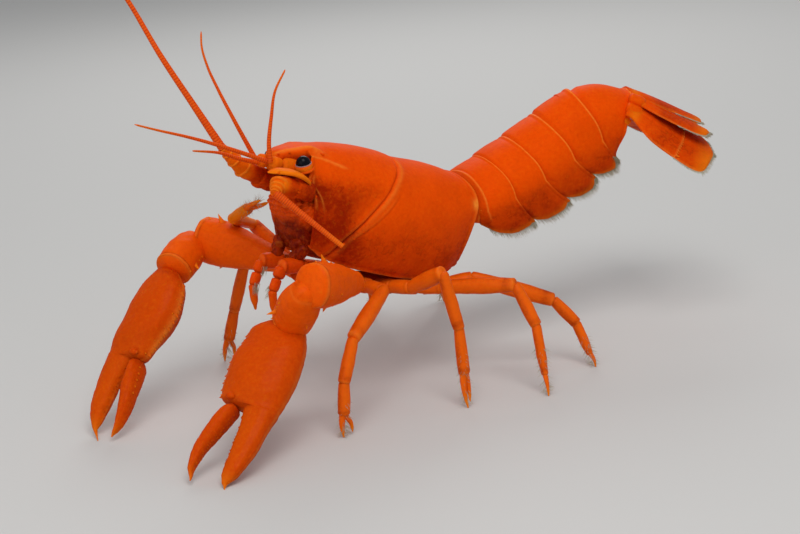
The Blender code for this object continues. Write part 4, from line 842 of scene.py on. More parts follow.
            a = float(smooth((0.42, 0.5, 0.6, 0.7, 0.8), (18.2, 19.7, 22.2, 25.1, 27.9), share))
            y, z = carapace_section(np.array(a), np.array(share))
            found.append((body_point(a, y * way, z), 0.9 * BODY_AHEAD + way * 0.8 * BODY_LEFT - 0.2 * BODY_UP,
                          size, 0.24))
        for a, share, size in ((35.6, 0.475, 0.5), (35.0, 0.53, 0.25), (34.2, 0.58, 0.2)):
            y, z = carapace_section(np.array(a), np.array(share))
            found.append((body_point(a + 0.2, y * way, z), BODY_AHEAD + 0.4 * way * BODY_LEFT, size, 0.25))
    shells.append(spines(*zip(*found), {"light": 0.0, "dark": 0.1, "tip": 0.0}, 12))
    make_piece("carapace_shell", shells, "shell", ["carapace"])


def build_eyes():
    """Each eye: a black dome, flat below with a pale rim, in a cup with a raised collar on a short stalk.

    Dome radius follows the cosine of its angle; cup and stalk are one turned profile.
    """
    for side_name, sign in SIDES:
        centre = body_point(EYE_CENTRE[0], EYE_CENTRE[1] * sign, EYE_CENTRE[2])
        facing = unit(EYE_FACING[0] * BODY_AHEAD + sign * EYE_FACING[1] * BODY_LEFT + EYE_FACING[2] * BODY_UP)
        across = unit(np.cross(facing, BODY_AHEAD))
        along = np.cross(across, facing)
        angle = np.radians(np.linspace(1.0, 86.0, 20))
        centres = centre + facing * (0.12 + 1.4 * np.sin(angle))[:, None]
        dome = oval_grid(centres, along, across, 1.34 * np.cos(angle), 1.3 * np.cos(angle), 44)
        rim = torus_loop(centre + facing * 0.12, along, across, 1.34, 1.3, 0.1, {"light": 1.0})
        make_piece(f"cornea_{side_name}", [tube_shell(dome), rim], "cornea",
                   [f"eye_{side_name}"])
        root = body_point(35.0, 3.9 * sign, -2.9)
        depth = np.array([0.08, 0.0, -0.15, -0.35, -0.6, -0.85, -1.05, -1.25, -1.4])
        cup = centre + facing * depth[:, None]
        bend = (cup[-1] + root) / 2 - 0.15 * BODY_UP
        centres = np.concatenate([cup, path_points([cup[-1], bend, root], 9)[1:]])
        wide = np.concatenate([[1.36, 1.44, 1.5, 1.52, 1.5, 1.42, 1.3, 1.1, 0.92],
                               np.linspace(0.88, 0.95, 8)])
        grid = oval_grid(centres, along, across, wide, wide * 0.97, 44)
        row = np.arange(len(centres))[:, None]
        masks = {"light": 0.3 * bell(row - 1.5, 1.2), "tip": 0.7 * ramp(1, 4, row) * (1 - ramp(9, 12, row))}
        collar = torus_loop(
            centre - facing * 1.0 - 0.15 * BODY_AHEAD, along, across, 1.42, 1.36, 0.24,
            {"light": 0.1, "dark": 0.1})
        make_piece(f"eye_cup_{side_name}", [tube_shell(grid, masks), collar], "shell",
                   [f"eyestalk_{side_name}"])


def article(start, end, reference, stations, wide, high, around=24, rows=26, power=2.2, rounding=0.7, bow=0.0,
            masks=None, lumps=0.03, edge=0.0):
    """One limb article: ovals along a slightly bowed line, closed round at both ends.

    Each end closes as a quarter circle of the given rounding; a low sum of sines makes it uneven.
    Masks are numbers or functions of the length share.  The edge value deepens the colour with the
    fourth power of the sine of the turn round the article.
    """
    start, end = np.asarray(start, float), np.asarray(end, float)
    length = np.linalg.norm(end - start)
    t = 0.5 - 0.5 * np.cos(math.pi * (np.arange(rows) + 0.35) / (rows - 0.3))
    direction = unit(end - start)
    side = unit(np.cross(direction, reference))
    up = np.cross(side, direction)
    to_end = np.minimum(t, 1 - t) * length
    close = np.sqrt(np.clip(1 - (1 - np.clip(to_end / rounding, 0, 1)) ** 2, 0.0, 1.0))
    w, h = smooth(stations, wide, t) * close, smooth(stations, high, t) * close
    centres = start + (end - start) * t[:, None] + up * (bow * np.sin(math.pi * t))[:, None]
    grid = oval_grid(centres, side, up, w, h, around, power)
    grid = grid + grid_normals(grid) * (unevenness(grid, 2.2, 11) * lumps * close[:, None])[..., None]
    values = {"light": 0.2 * bell(t - 0.97, 0.03)[:, None],
              "dark": (0.3 * bell(t, 0.06) + 0.35 * bell(t - 0.88, 0.05))[:, None]}
    for name, value in (masks or {}).items():
        values[name] = value(t)[:, None] if callable(value) else value
    values["dark"] = values["dark"] + edge * np.sin(2 * math.pi * np.arange(around) / around)[None, :] ** 4
    return tube_shell(grid, values)


def limb_article(start, end, reference, first, middle, last, flat=0.85, **extra):
    """Article whose half width goes from first over middle to last, with its height as a share of it."""
    wide = np.array([first * 0.9, first, (first + middle) / 2, middle, last * 1.02, last * 0.97])
    extra.setdefault("rounding", 0.45)
    return article(start, end, reference, ARTICLE_STATIONS, wide, wide * flat, **extra)


def leg_article(start, end, reference, first, middle, last, flat, **extra):
    """Limb article of a walking leg, deeper in colour along its edges."""
    return limb_article(start, end, reference, first, middle, last, flat, edge=LEG_EDGE, **extra)


def ringed_tube(path, radii, ring_length, around=12, blunt=False):
    """Feeler: a tapering tube whose radius swells by 3.5 percent once in each ring length."""
    length = np.linalg.norm(np.diff(path, axis=0), axis=1).sum()
    count = int(np.clip(length / ring_length * 6, 60, 900))
    line = path_points(path, count)
    share = np.linspace(0, 1, count)
    r = np.interp(share, np.linspace(0, 1, len(radii)), radii)
    wave = np.cos(2 * math.pi * share * length / ring_length)
    if not blunt:
        r = r * np.sqrt(np.clip((1 - share) * 40, 0.02, 1))
    _, side, up = path_axes(line, BODY_UP)
    r = r * (1 + 0.035 * wave)
    masks = {"dark": 0.45 * bell(wave + 1, 0.5)[:, None],
             "tip": (0.3 * ramp(0.6, 1, share) + 0.15 * bell(wave - 1, 0.6))[:, None]}
    return tube_shell(oval_grid(line, side, up, r, r, around), masks)


def build_feelers():
    """Antennae with peduncle articles and end rings, ringed whips, antennal scales and antennules."""
    for side_name, sign in SIDES:
        root, bend, wrist = [body_point(*p) for p in ANTENNA_JOINTS[side_name]]
        mid = (root + bend) / 2
        turn = unit(wrist - bend)
        across = unit(np.cross(turn, BODY_UP))
        along = np.cross(across, turn)
        turning = {"tip": lambda t: 0.4 * ramp(0.45, 0.9, t), "dark": lambda t: 0.7 * (1 - ramp(0.3, 0.8, t)),
                   "light": 0.0}
        ruddy = {"dark": lambda t: 1.0 - 0.5 * t, "light": 0.0}
        shells = [
            limb_article(root - 0.6 * BODY_AHEAD, mid + 0.5 * BODY_AHEAD, BODY_UP, 1.8, 1.95, 1.85, 0.92,
                         masks=ruddy, lumps=0.2),
            limb_article(mid - 0.3 * BODY_AHEAD, bend + unit(bend - mid) * 0.5, BODY_UP, 1.65, 1.75, 1.6,
                         0.92, masks=turning, lumps=0.1),
        ]
        reach = np.linalg.norm(wrist - bend)
        for share, radius, thick in ((0.0, 1.45, 0.3), (0.42, 1.2, 0.24), (0.75, 0.92, 0.2),
                                     (1.0, 0.72, 0.14)):
            place = bend + turn * reach * share
            shells.append(torus_loop(place, across, along, radius, radius, thick,
                                     {"light": 0.35, "tip": 0.3}))
        shells.append(limb_article(
            bend - turn * 0.6, wrist + turn * 0.15, BODY_UP, 1.45, 1.15, 0.75, 1.0, rounding=0.3,
            masks={"tip": 0.3}))
        outward = sign * BODY_LEFT
        tips = [mid + 1.6 * outward, mid - 0.5 * BODY_UP + 1.6 * outward, bend - 1.3 * BODY_UP]
        shells.append(spines(tips, [BODY_AHEAD + 0.4 * outward] * 3, 0.6, 0.3, {"dark": 0.5, "tip": 0.0}))
        make_piece(f"antenna_base_{side_name}", shells, "shell",
                   [f"antenna_peduncle_{side_name}"])
        whip = ringed_tube([body_point(*p) for p in ANTENNA_ROUTES[side_name]], *WHIP_TABLE[side_name])
        make_piece(f"antenna_whip_{side_name}", [whip], "feeler_shell",
                   [f"antenna_flagellum_{side_name}"])
        build_scale(side_name, sign)
        base, end = body_point(35.3, 1.7 * sign, -2.9), body_point(42.0, 1.9 * sign, -2.4)
        cuts = [base + (end - base) * t for t in (0.0, 0.66, 1.0)]
        shells = [limb_article(a, b, BODY_UP, r, r * 1.08, r * 0.92, 0.95, rounding=0.6, masks={"tip": 0.35})
                  for a, b, r in zip(cuts, cuts[1:], (1.5, 1.15))]
        make_piece(f"antennule_base_{side_name}", shells, "shell",
                   [f"antennule_peduncle_{side_name}"])
    for node, route in ANTENNULE_ROUTES.items():
        whip = ringed_tube([body_point(*p) for p in route], np.linspace(0.44, 0.15, 5), 0.45)
        make_piece(node.replace("flagellum", "whip"), [whip], "feeler_shell", [node])


def build_scale(side_name, sign):
    """Antennal scale: a bulging curved blade, outer side down, with an outer rib that ends in a spine."""
    u = np.linspace(0, 1, 44)[:, None]
    c = np.linspace(-1, 1, 27)[None, :]
    stations = (36.4, 37.2, 38.4, 40.6, 42.4, 43.6, 44.2)
    ahead = 36.4 + 7.8 * u
    half = smooth(stations, (0.45, 0.65, 0.9, 1.05, 0.95, 0.6, 0.2), ahead)
    middle = 7.4 if side_name == "right" else smooth(stations, (6.45, 6.55, 6.6, 6.2, 5.6, 5.0, 4.7), ahead)
    level = smooth(stations, (-4.9, -4.4, -3.9, -3.45, -3.5, -3.8, -4.0), ahead)
    dome = np.sqrt(np.clip(1 - c * c, 0, 1))
    rib = bell(c - 0.6, 0.22) * (1 - ramp(0.8, 1.0, u))
    thick = (0.08 + 0.36 * dome + 0.1 * rib) * smooth((0, 0.15, 0.8, 1.0), (0.8, 1.0, 0.85, 0.3), u)
    across = math.cos(SCALE_TILT) * BODY_LEFT * sign - math.sin(SCALE_TILT) * BODY_UP
    normal = math.cos(SCALE_TILT) * BODY_UP + math.sin(SCALE_TILT) * BODY_LEFT * sign
    skin = body_point(ahead, sign * middle, level) + (half * c)[..., None] * across
    upper = skin + thick[..., None] * normal
    lower = skin - (0.75 * thick)[..., None] * normal
    # The middle band of the light mask is a painted highlight; the yellow tip tint is partly the scale's own
    # yellow, partly painted highlight; both edges are darker
    shells = [plate_shell(upper, lower, {
        "tip": 0.35 * ramp(-0.2, 0.7, c) + 0.25, "light": 0.45 * bell(c + 0.1, 0.3),
        "dark": 0.6 * bell(c + 1, 0.2) + 0.6 * bell(c - 1, 0.08)})]
    spine_way = BODY_AHEAD + 0.1 * sign * BODY_LEFT - 0.2 * BODY_UP
    shells.append(spines([skin[-9, 21]], [spine_way], 1.0, 0.32))
    make_piece(f"antenna_blade_{side_name}", shells, "shell", [f"antenna_scale_{side_name}"])


def build_mouth():
    """Mouth region and jaw legs.

    Rounded plan sections run down a front that slopes back, knobbly above and smooth below.
    """
    level = np.concatenate([np.linspace(-7.3, -8.4, 16), np.linspace(-8.45, -16.0, 90),
                            np.linspace(-16.1, -17.0, 14)])
    front = smooth((-17.0, -16.0, -14.0, -12.0, -10.0, -8.7, -7.9, -7.3),
                   (33.6, 34.4, 35.5, 36.6, 37.7, 38.2, 37.5, 35.6), level)
    half = smooth((-17.0, -16.0, -14.0, -10.0, -8.2, -7.3), (2.9, 4.1, 4.9, 5.75, 5.3, 4.2), level)
    centres = body_point(MOUTH_AXIS, 0.0, level)
    grid = oval_grid(centres, BODY_LEFT, BODY_AHEAD, half, front - MOUTH_AXIS, 180, 2.15)
    behind = np.minimum((grid - centres[:, None]) @ BODY_AHEAD, 0.0)
    grid = grid - (behind - np.maximum(behind, -1.2))[..., None] * BODY_AHEAD
    local = grid - BODY_ORIGIN
    height, ahead = local @ BODY_UP, local @ BODY_AHEAD
    upper = ramp(-12.6, -9.4, height)
    hub = np.sqrt((ahead - 38.0) ** 2 + (height + 7.6) ** 2)
    rings = np.cos(hub * 6.4 + 1.1 * unevenness(grid, 2.6, 13)) * (1 - ramp(3.4, 4.8, hub))
    folds = np.cos(height * 5.2 + 1.6 * unevenness(grid, 2.2, 14))
    knobs = 0.14 * unevenness(grid, 1.1, 8)
    push = 0.13 * rings + 0.06 * folds * upper + knobs * upper + 0.05 * unevenness(grid, 1.6, 9) * (1 - upper)
    seam = ramp(-9.0, -11.0, height)
    push = push + 0.1 * bell(ahead - 35.4, 0.25) * seam - 0.18 * bell(ahead - 36.0, 0.3) * seam
    grid = grid + grid_normals(grid) * push[..., None]
    # The lighter knob tops are a painted highlight; the darker hollows between the knobs, the seam and the
    # lower part are painted shade
    dark = (0.2 * ramp(0.1, -0.15, push) * upper + 1.0 * ramp(-10.8, -13.5, height)
            + 0.2 * bell(ahead - 36.0, 0.3))
    shells = [tube_shell(grid, {"dark": dark, "light": 0.2 * ramp(0.12, 0.3, push) * upper})]
    for _, sign in SIDES:
        for start, end, first, middle, last in (
            ((33.2, 3.2, -15.4), (34.8, 1.7, -16.8), 1.2, 1.4, 1.0),
            ((32.8, 3.6, -16.0), (34.4, 3.0, -18.4), 1.1, 1.3, 0.8),
            ((33.6, 2.8, -17.0), (35.0, 2.2, -19.4), 0.9, 1.0, 0.6),
        ):
            a, b = [body_point(x, y * sign, z) for x, y, z in (start, end)]
            # These small mouthparts are darkened almost fully as painted shade under the head
            shells.append(limb_article(a, b, BODY_LEFT, first, middle, last, 0.9, masks={"dark": 0.95}))
    make_piece("mouth_region", shells, "face_shell", ["mouthparts"])
    for side_name, sign in SIDES:
        places = ((30.4, 2.2, -20.6), (33.0, 2.6, -19.6), (36.8, 3.0, -20.0), (38.2, 3.0, -24.2),
                  (36.8, 2.8, -28.8))
        hip, bend, knee, wrist, end = [body_point(a, s * sign, h) for a, s, h in places]
        side_way = sign * BODY_LEFT
        shells = [
            limb_article(hip, bend, side_way, 1.2, 1.35, 1.35, 1.0, rounding=0.5),
            limb_article(bend - unit(knee - bend) * 0.4, knee + unit(knee - bend) * 0.5, side_way, 1.35, 1.45,
                         1.25, 0.95),
            limb_article(knee, knee * 0.45 + wrist * 0.55, side_way, 1.15, 1.15, 1.0, 0.8, rounding=0.6),
            limb_article(knee * 0.5 + wrist * 0.5, wrist + unit(end - wrist) * 0.5, side_way, 0.95, 0.95, 0.8,
                         0.85),
            limb_article(wrist, end, side_way, 0.8, 0.68, 0.3, 0.85, masks={"tip": lambda t: 0.3 * t}),
        ]
        make_piece(f"jaw_leg_{side_name}", shells, "face_shell", [f"maxilliped_{side_name}"])


def build_underside():
    """Breast plate between the legs: a keel that swells at each leg pair and narrows between them."""
    ahead = np.linspace(2.3, 30.2, 90)
    swell = 0.35 * np.cos((ahead - 5.4) * 2 * math.pi / 5.28)
    half = smooth((2.3, 8.0, 16.0, 24.0, 30.2), (3.0, 3.8, 4.1, 4.5, 3.4), ahead) + swell * 0.4
    grid = oval_grid(body_point(ahead, 0.0, -21.7), BODY_LEFT, BODY_UP, half, 1.45 + swell * 0.35, 44, 2.1)
    # The plate is darkened all over as painted shade under the body; the pale bands between the swells are
    # its own colour
    masks = {"dark": 0.6, "light": 0.3 * bell(swell + 0.35, 0.1)[:, None]}
    make_piece("breast_plate", [tube_shell(grid, masks)], "shell", ["sternum"])


# Limbs


def leg_root(number, sign):
    """Row place of a leg's root on the breast plate."""
    return body_point(LEG_ROOT_AHEAD[number], sign * 4.7, -21.8)


def sweep_at(side_name, along):
    """Sideways bend of a claw: a sine power that swells past its start and fades at the tip."""
    share = np.clip((np.asarray(along, float) - SWEEP_START) / (FINGER_STATIONS[-1] - SWEEP_START), 0.0, 1.0)
    return FINGER_SWEEP[side_name] * np.sin(share * 0.62 * math.pi) ** 1.3


def claw_frame(side_name, wrist, tip):
    """Length direction of the claw, its inward direction and the normal of its outer face."""
    sign = 1.0 if side_name == "left" else -1.0
    axis = unit(tip - wrist)
    normal = unit(STRAIGHT_UP - (STRAIGHT_UP @ axis) * axis)
    inward = sign * np.cross(normal, axis)
    if (inward @ BODY_LEFT) * sign > 0:
        inward = -inward
    roll = math.radians(CLAW_ROLL[side_name])
    rolled_in = math.cos(roll) * inward + math.sin(roll) * normal
    return axis, unit(rolled_in), unit(math.cos(roll) * normal - math.sin(roll) * inward)


def claw_grid(side_name, axes, wrist, outer, inner, thick, at, around, power=2.25):
    """Ovals between the outer and inner line of a claw part at the given distances from the wrist."""
    axis, inward, normal = axes
    centres = wrist + axis * at[:, None] + inward * ((outer + inner) / 2 + sweep_at(side_name, at))[:, None]
    return oval_grid(centres, inward, normal, (inner - outer) / 2, thick, around, power)


def palm_lines(side_name, at):
    """Outer line, inner line and half thickness of palm and fixed finger.

    The inner line follows the palm up to the notch, then falls as a quarter circle to the finger's line.
    """
    outer = smooth(CLAW_STATIONS[:-1] + FINGER_STATIONS, CLAW_OUTER[:-1] + FINGER_OUTER, at)
    thick = smooth(CLAW_STATIONS[:-1] + FINGER_STATIONS, CLAW_HALF_THICK[:-1] + FINGER_HALF_THICK, at)
    palm = smooth(CLAW_STATIONS, CLAW_INNER, at) * INNER_SHARE[side_name] + PALM_TRIM[side_name](at)
    finger = smooth(FINGER_STATIONS, FINGER_INNER, np.maximum(at, FINGER_STATIONS[0]))
    fall = np.sqrt(1 - np.clip((at - NOTCH_START) / NOTCH_LENGTH, 0, 1) ** 2)
    return outer, finger + (palm - finger) * fall, thick


def finger_lines(side_name, at):
    """Outer line, inner line and half thickness of the moving finger, shifted on the far claw."""
    shift = MOVING_FINGER_SHIFT[side_name]
    slim = smooth((17.4, 18.5, 21.0, 25.0, 29.5, 31.5), (0.9, 1.25, 1.3, 1.1, 0.75, 0.1), at)
    inner = smooth(DACTYL_STATIONS, DACTYL_INNER, at) + shift - slim
    outer = smooth(DACTYL_STATIONS, DACTYL_OUTER, at) + shift * np.clip((at - 16.5) / 6.0, 0, 1)
    return outer, inner, smooth(DACTYL_STATIONS, DACTYL_HALF_THICK, at)


def ring_turns(count):
    """Angles round a ring of points, and the same angles between minus and plus a half turn."""
    angle = np.arange(count) * 2 * math.pi / count
    return angle, np.angle(np.exp(1j * angle))


def build_claws():
    """Palm with fixed finger as ovals along the claw, with a toothed keel, grains and a blunt floor tip."""
    for side_name, _ in SIDES:
        _, _, wrist, tip = [floor_point(*p) for p in LIMB_JOINTS[("cheliped", side_name)]]
        axes = claw_frame(side_name, wrist, tip)
        axis, inward, normal = axes
        at = np.concatenate([
            np.linspace(0.15, 1.6, 9), np.linspace(1.8, 15.9, 70), np.linspace(16.0, 17.6, 26),
            np.linspace(17.75, 31.15, 70)])
        both = claw_grid(side_name, axes, wrist, *palm_lines(side_name, at), at, 100, 2.3)
        angle, turn = ring_turns(100)
        edge_in = bell(turn, 0.2)[None, :]
        out = grid_normals(both)
        relief = (0.035 * unevenness(both, 1.9, 21) + 0.09 * unevenness(both, 8.0, 22)
                  + 0.018 * unevenness(both, 0.8, 23))
        keel = 0.3 * edge_in * (ramp(1.0, 3.0, at) * (1 - ramp(14.5, 16.5, at)))[:, None]
        cheeks = (bell(turn - 0.75, 0.4) + bell(turn + 0.75, 0.4))[None, :]
        dent = -0.3 * bell(at - 14.6, 1.6)[:, None] * cheeks
        flanks = (bell(turn - 1.05, 0.5) + bell(turn + 1.05, 0.5))[None, :]
        hollow = -0.22 * bell(at - 19.4, 2.2)[:, None] * flanks
        grows = (ramp(18.5, 20.5, at) * (1 - ramp(28.5, 30.3, at)))[:, None]
        teeth = 0.12 * np.maximum(0, np.cos(at * 2 * math.pi / 1.2))[:, None] * edge_in * grows
        furrow = -0.05 * (bell(turn - 2.0, 0.13) + bell(turn - 2.6, 0.1)
                          + bell(turn + 2.0, 0.13))[None, :] * grows
        fade = np.minimum(ramp(0.1, 1.2, at), 1 - ramp(30.0, 31.2, at))[:, None]
        both = both + out * ((relief + keel + dent + hollow + teeth + furrow) * fade)[..., None]
        foot = np.array([tip[0], tip[1], 0.0])
        last = both[-1] * 0.5 + foot * 0.5
        last[:, 2] = np.maximum(last[:, 2], 0.14)
        middle = last * 0.62 + foot * 0.38
        middle[:, 2] = np.maximum(middle[:, 2], 0.03)
        end = foot + (last - last.mean(0)) * np.array([0.42, 0.42, 0.0])
        neck = wrist + axis * 0.1 + (both[0] - both[0].mean(0)) * 0.6 - axis * 0.35
        rows = np.concatenate([neck[None], both, last[None], middle[None], end[None]])
        s = np.concatenate([[0.0], at, [31.8, 32.2, 32.4]])[:, None]
        cosine, sine = np.cos(angle)[None, :], np.sin(angle)[None, :]
        # The darker lower face of the claw is painted shade; the other dark and light marks are joint, keel
        # and edge colour
        shells = [tube_shell(rows, {
            "tip": 0.3 * ramp(28.5, 31.5, s) + 0.1 * ramp(8.0, 24.0, s) * (0.5 + 0.5 * cosine),
            "dark": 0.35 * bell(s - 0.5, 0.7) + 0.55 * bell(s - 17.1, 0.5) * ramp(-0.1, 0.6, cosine)
            + 0.2 * ramp(-0.2, -0.9, sine),
            "light": 0.35 * edge_in * ramp(2, 4, s) * (1 - ramp(15, 17, s)) + 0.25 * bell(s - 16.2, 0.25)
            * edge_in
            + 0.3 * ramp(31.2, 32.3, s)
            + 0.25 * (bell(turn, 0.1) + bell(math.pi - np.abs(turn), 0.16))[None, :]})]
        stops = np.linspace(2.4, 16.0, 11)
        _, edge, _ = palm_lines(side_name, stops)
        root = wrist + axis * stops[:, None] + inward * (edge + sweep_at(side_name, stops) + 0.15)[:, None]
        pale = {"light": 0.15, "tip": 0.1}
        shells.append(spines(root, inward + 0.6 * axis, np.linspace(0.75, 0.5, 11),
                             np.linspace(0.46, 0.38, 11), pale))
        row = root[::2] + normal * 0.8 - inward * 0.3
        shells.append(spines(row, inward * 0.7 + 0.4 * axis + 0.7 * normal, 0.4, 0.24))
        knob = (wrist + axis * 16.5 + inward * (0.62 * edge[-1] + float(sweep_at(side_name, 16.5)))
                + normal * 2.25)
        shells.append(article(
            knob - inward * 0.9, knob + inward * 0.9, normal, (0, 0.5, 1), (0.55, 0.62, 0.5),
            (0.5, 0.6, 0.45), 20, 16))
        rng = np.random.default_rng(5)
        stops = rng.uniform(18.8, 29.0, 46)
        pick = rng.integers(-2, 3, 46) % GRAIN_COLUMNS
        face = claw_grid(side_name, axes, wrist, *palm_lines(side_name, stops), stops, GRAIN_COLUMNS)
        shells.append(spines(face[np.arange(46), pick], inward, 0.16, 0.18, {"tip": 0.1}, 6))
        make_piece(f"claw_palm_shell_{side_name}", shells, "claw_shell",
                   [f"claw_palm_{side_name}"])
        build_moving_finger(side_name, axes, wrist)


def build_moving_finger(side_name, axes, wrist):
    """Moving finger: ovals along a curved line that ends in an inward hook, with low teeth on its edge."""
    axis, inward, _ = axes
    at = np.linspace(17.35, 31.9, 92)
    grid = claw_grid(side_name, axes, wrist, *finger_lines(side_name, at), at, 64)
    _, turn = ring_turns(64)
    edge = bell(math.pi - np.abs(turn), 0.25)[None, :]
    close = np.sqrt(1 - (1 - np.clip((at - 17.25) / 1.1, 0, 1)) ** 2)
    close = close * np.sqrt(np.clip((32.1 - at) / 1.3, 0.05, 1))
    middle = grid.mean(1, keepdims=True)
    grid = middle + (grid - middle) * close[:, None, None]
    grows = (ramp(18.6, 20.0, at) * (1 - ramp(28.5, 30.5, at)))[:, None]
    teeth = 0.11 * np.maximum(0, np.cos(at * 2 * math.pi / 1.1))[:, None] * edge
    furrow = -0.05 * (bell(turn - 0.9, 0.14) + bell(turn - 1.9, 0.14) + bell(turn + 1.2, 0.14))[None, :]
    push = (teeth + furrow) * grows + 0.035 * unevenness(grid, 1.9, 31) + 0.016 * unevenness(grid, 0.8, 32)
    hook = (ramp(28.5, 31.9, at) ** 2 * 0.5)[:, None, None] * -inward
    rows = grid + grid_normals(grid) * push[..., None] + hook
    s = at[:, None]
    masks = {"tip": 0.3 * ramp(28.5, 31.5, s), "dark": 0.5 * bell(s - 17.5, 0.6),
             "light": 0.3 * ramp(30.8, 31.8, s)}
    shells = [tube_shell(rows, masks)]
    rng = np.random.default_rng(6)
    stops = rng.uniform(19.0, 29.0, 40)
    pick = (20 + rng.integers(-2, 3, 40)) % GRAIN_COLUMNS
    face = claw_grid(side_name, axes, wrist, *finger_lines(side_name, stops), stops, GRAIN_COLUMNS)
    shells.append(spines(face[np.arange(40), pick], -inward, 0.16, 0.17, {"tip": 0.1}, 6))
    ridge = 18.6 + np.arange(5) * 1.2
    face = claw_grid(side_name, axes, wrist, *finger_lines(side_name, ridge), ridge, GRAIN_COLUMNS)
    shells.append(spines(face[:, 1], inward + 0.4 * axis, 0.3, 0.26, None, 6))
    make_piece(f"claw_finger_shell_{side_name}", shells, "claw_shell",
               [f"claw_finger_{side_name}"])


def build_claw_arms():
    """Arm of each claw: hip articles, upper arm with spines, then the carpus."""
    for side_name, sign in SIDES:
        hip, elbow, wrist, _ = [floor_point(*p) for p in LIMB_JOINTS[("cheliped", side_name)]]
        girth = 1.0 if side_name == "left" else 1.1
        root = leg_root(1, sign)
        mid = root + 0.5 * (hip - root)
        way = unit(elbow - hip)
        side = unit(np.cross(way, STRAIGHT_UP))
        up = np.cross(side, way)
        length = np.linalg.norm(elbow - hip)
        stations = (0.0, 0.14, 0.32, 0.5, 0.78, 0.93, 1.0)
        wide = girth * np.array((1.7, 2.1, 2.5, 3.0, 3.3, 3.25, 2.9))
        high = girth * np.array((1.9, 2.3, 2.9, 3.5, 3.9, 3.75, 3.3))
        line = {"dark": lambda t: 0.5 * bell(t - 0.9, 0.012) + 0.3 * bell(t, 0.05),
                "light": lambda t: 0.4 * bell(t - 0.925, 0.018)}
        shells = [
            limb_article(root - sign * 0.8 * BODY_LEFT, mid, STRAIGHT_UP, 2.1, 2.1, 1.9, 0.72),
            limb_article(mid - unit(hip - mid) * 0.5, hip + way * 0.9, STRAIGHT_UP, 2.0, 2.1, 2.0, 0.95),
            article(hip - way * 0.3, elbow - way * 0.05, STRAIGHT_UP, stations, wide, high, 64, 60, 2.3, 1.0,
                    0.0, line, 0.05),
        ]
        for shares, size, radius, lean in (
            ((0.7,), 1.9, 0.66, up), ((0.55, 0.86), 0.7, 0.38, up),
            ((0.64,), 1.35, 0.52, -up), ((0.3, 0.46, 0.8), 0.85, 0.4, -up),
        ):
            shares = np.array(shares)
            high_there = smooth(stations, high, shares)
            roots = hip + way * (shares * length)[:, None] + lean * (high_there - 0.25)[:, None]
            shells.append(spines(roots, lean + 0.7 * way, size, radius, {"light": 0.15}))
        inner = hip + way * (np.array([0.62, 0.82]) * length)[:, None] - sign * side * 2.8 * girth - up * 1.4
        shells.append(spines(inner, -sign * side + way, 0.7, 0.36))
        make_piece(f"claw_arm_shell_{side_name}", shells, "arm_shell",
                   [f"cheliped_arm_{side_name}"])
        build_carpus(side_name, sign, elbow, wrist)


def build_carpus(side_name, sign, elbow, wrist):
    """Carpus: a barrel with a furrow over its back, a raised collar before the palm and inner spines."""
    way = unit(wrist - elbow)
    side = unit(np.cross(way, BODY_AHEAD))
    span = np.linalg.norm(wrist - elbow)
    stations = (0.0, 0.12, 0.3, 0.55, 0.8, 0.9, 1.0)
    wide = np.array((1.5, 2.4, 3.1, 3.6, 3.6, 3.4, 2.7))
    high = np.array((1.7, 2.6, 3.25, 3.6, 3.55, 3.3, 2.7))
    collar = {
        "dark": lambda t: 0.6 * bell(t - 0.865, 0.012) + 0.35 * bell(t - 0.06, 0.03),
        "light": lambda t: 0.5 * bell(t - 0.9, 0.015) + 0.25 * bell(t - 0.13, 0.02),
    }
    start, end = elbow + way * 0.3, wrist - way * 0.05
    shells = [article(start, end, BODY_AHEAD, stations, wide, high, 64, 60, 2.15, 1.1, 0.0, collar, 0.07)]
    ring = wrist - way * span * 0.11
    shells.append(torus_loop(ring, side, np.cross(side, way), 3.38, 3.28, 0.24, {"light": 0.3}, 8, way))
    inner_way = -sign * VIEW_RIGHT + 0.25 * VIEW_BACK
    inner_way = unit(inner_way - (inner_way @ way) * way)
    for share, size, radius in ((0.7, 1.9, 0.6), (0.46, 0.7, 0.4), (0.56, 0.6, 0.36), (0.86, 0.8, 0.4)):
        reach = float(smooth(stations, high, share)) - 0.3
        root = elbow + way * span * share + inner_way * reach
        shells.append(spines(root, inner_way + 0.7 * way, size, radius, {"light": 0.15}))
    under = unit(-STRAIGHT_UP - (-STRAIGHT_UP @ way) * way)
    picks = np.array([0.6, 0.82])
    shells.append(spines(elbow + way * (picks * span)[:, None] + under * 3.4, under + 0.6 * way, 0.7, 0.38))
    make_piece(f"claw_carpus_shell_{side_name}", shells, "arm_shell",
               [f"cheliped_carpus_{side_name}"])


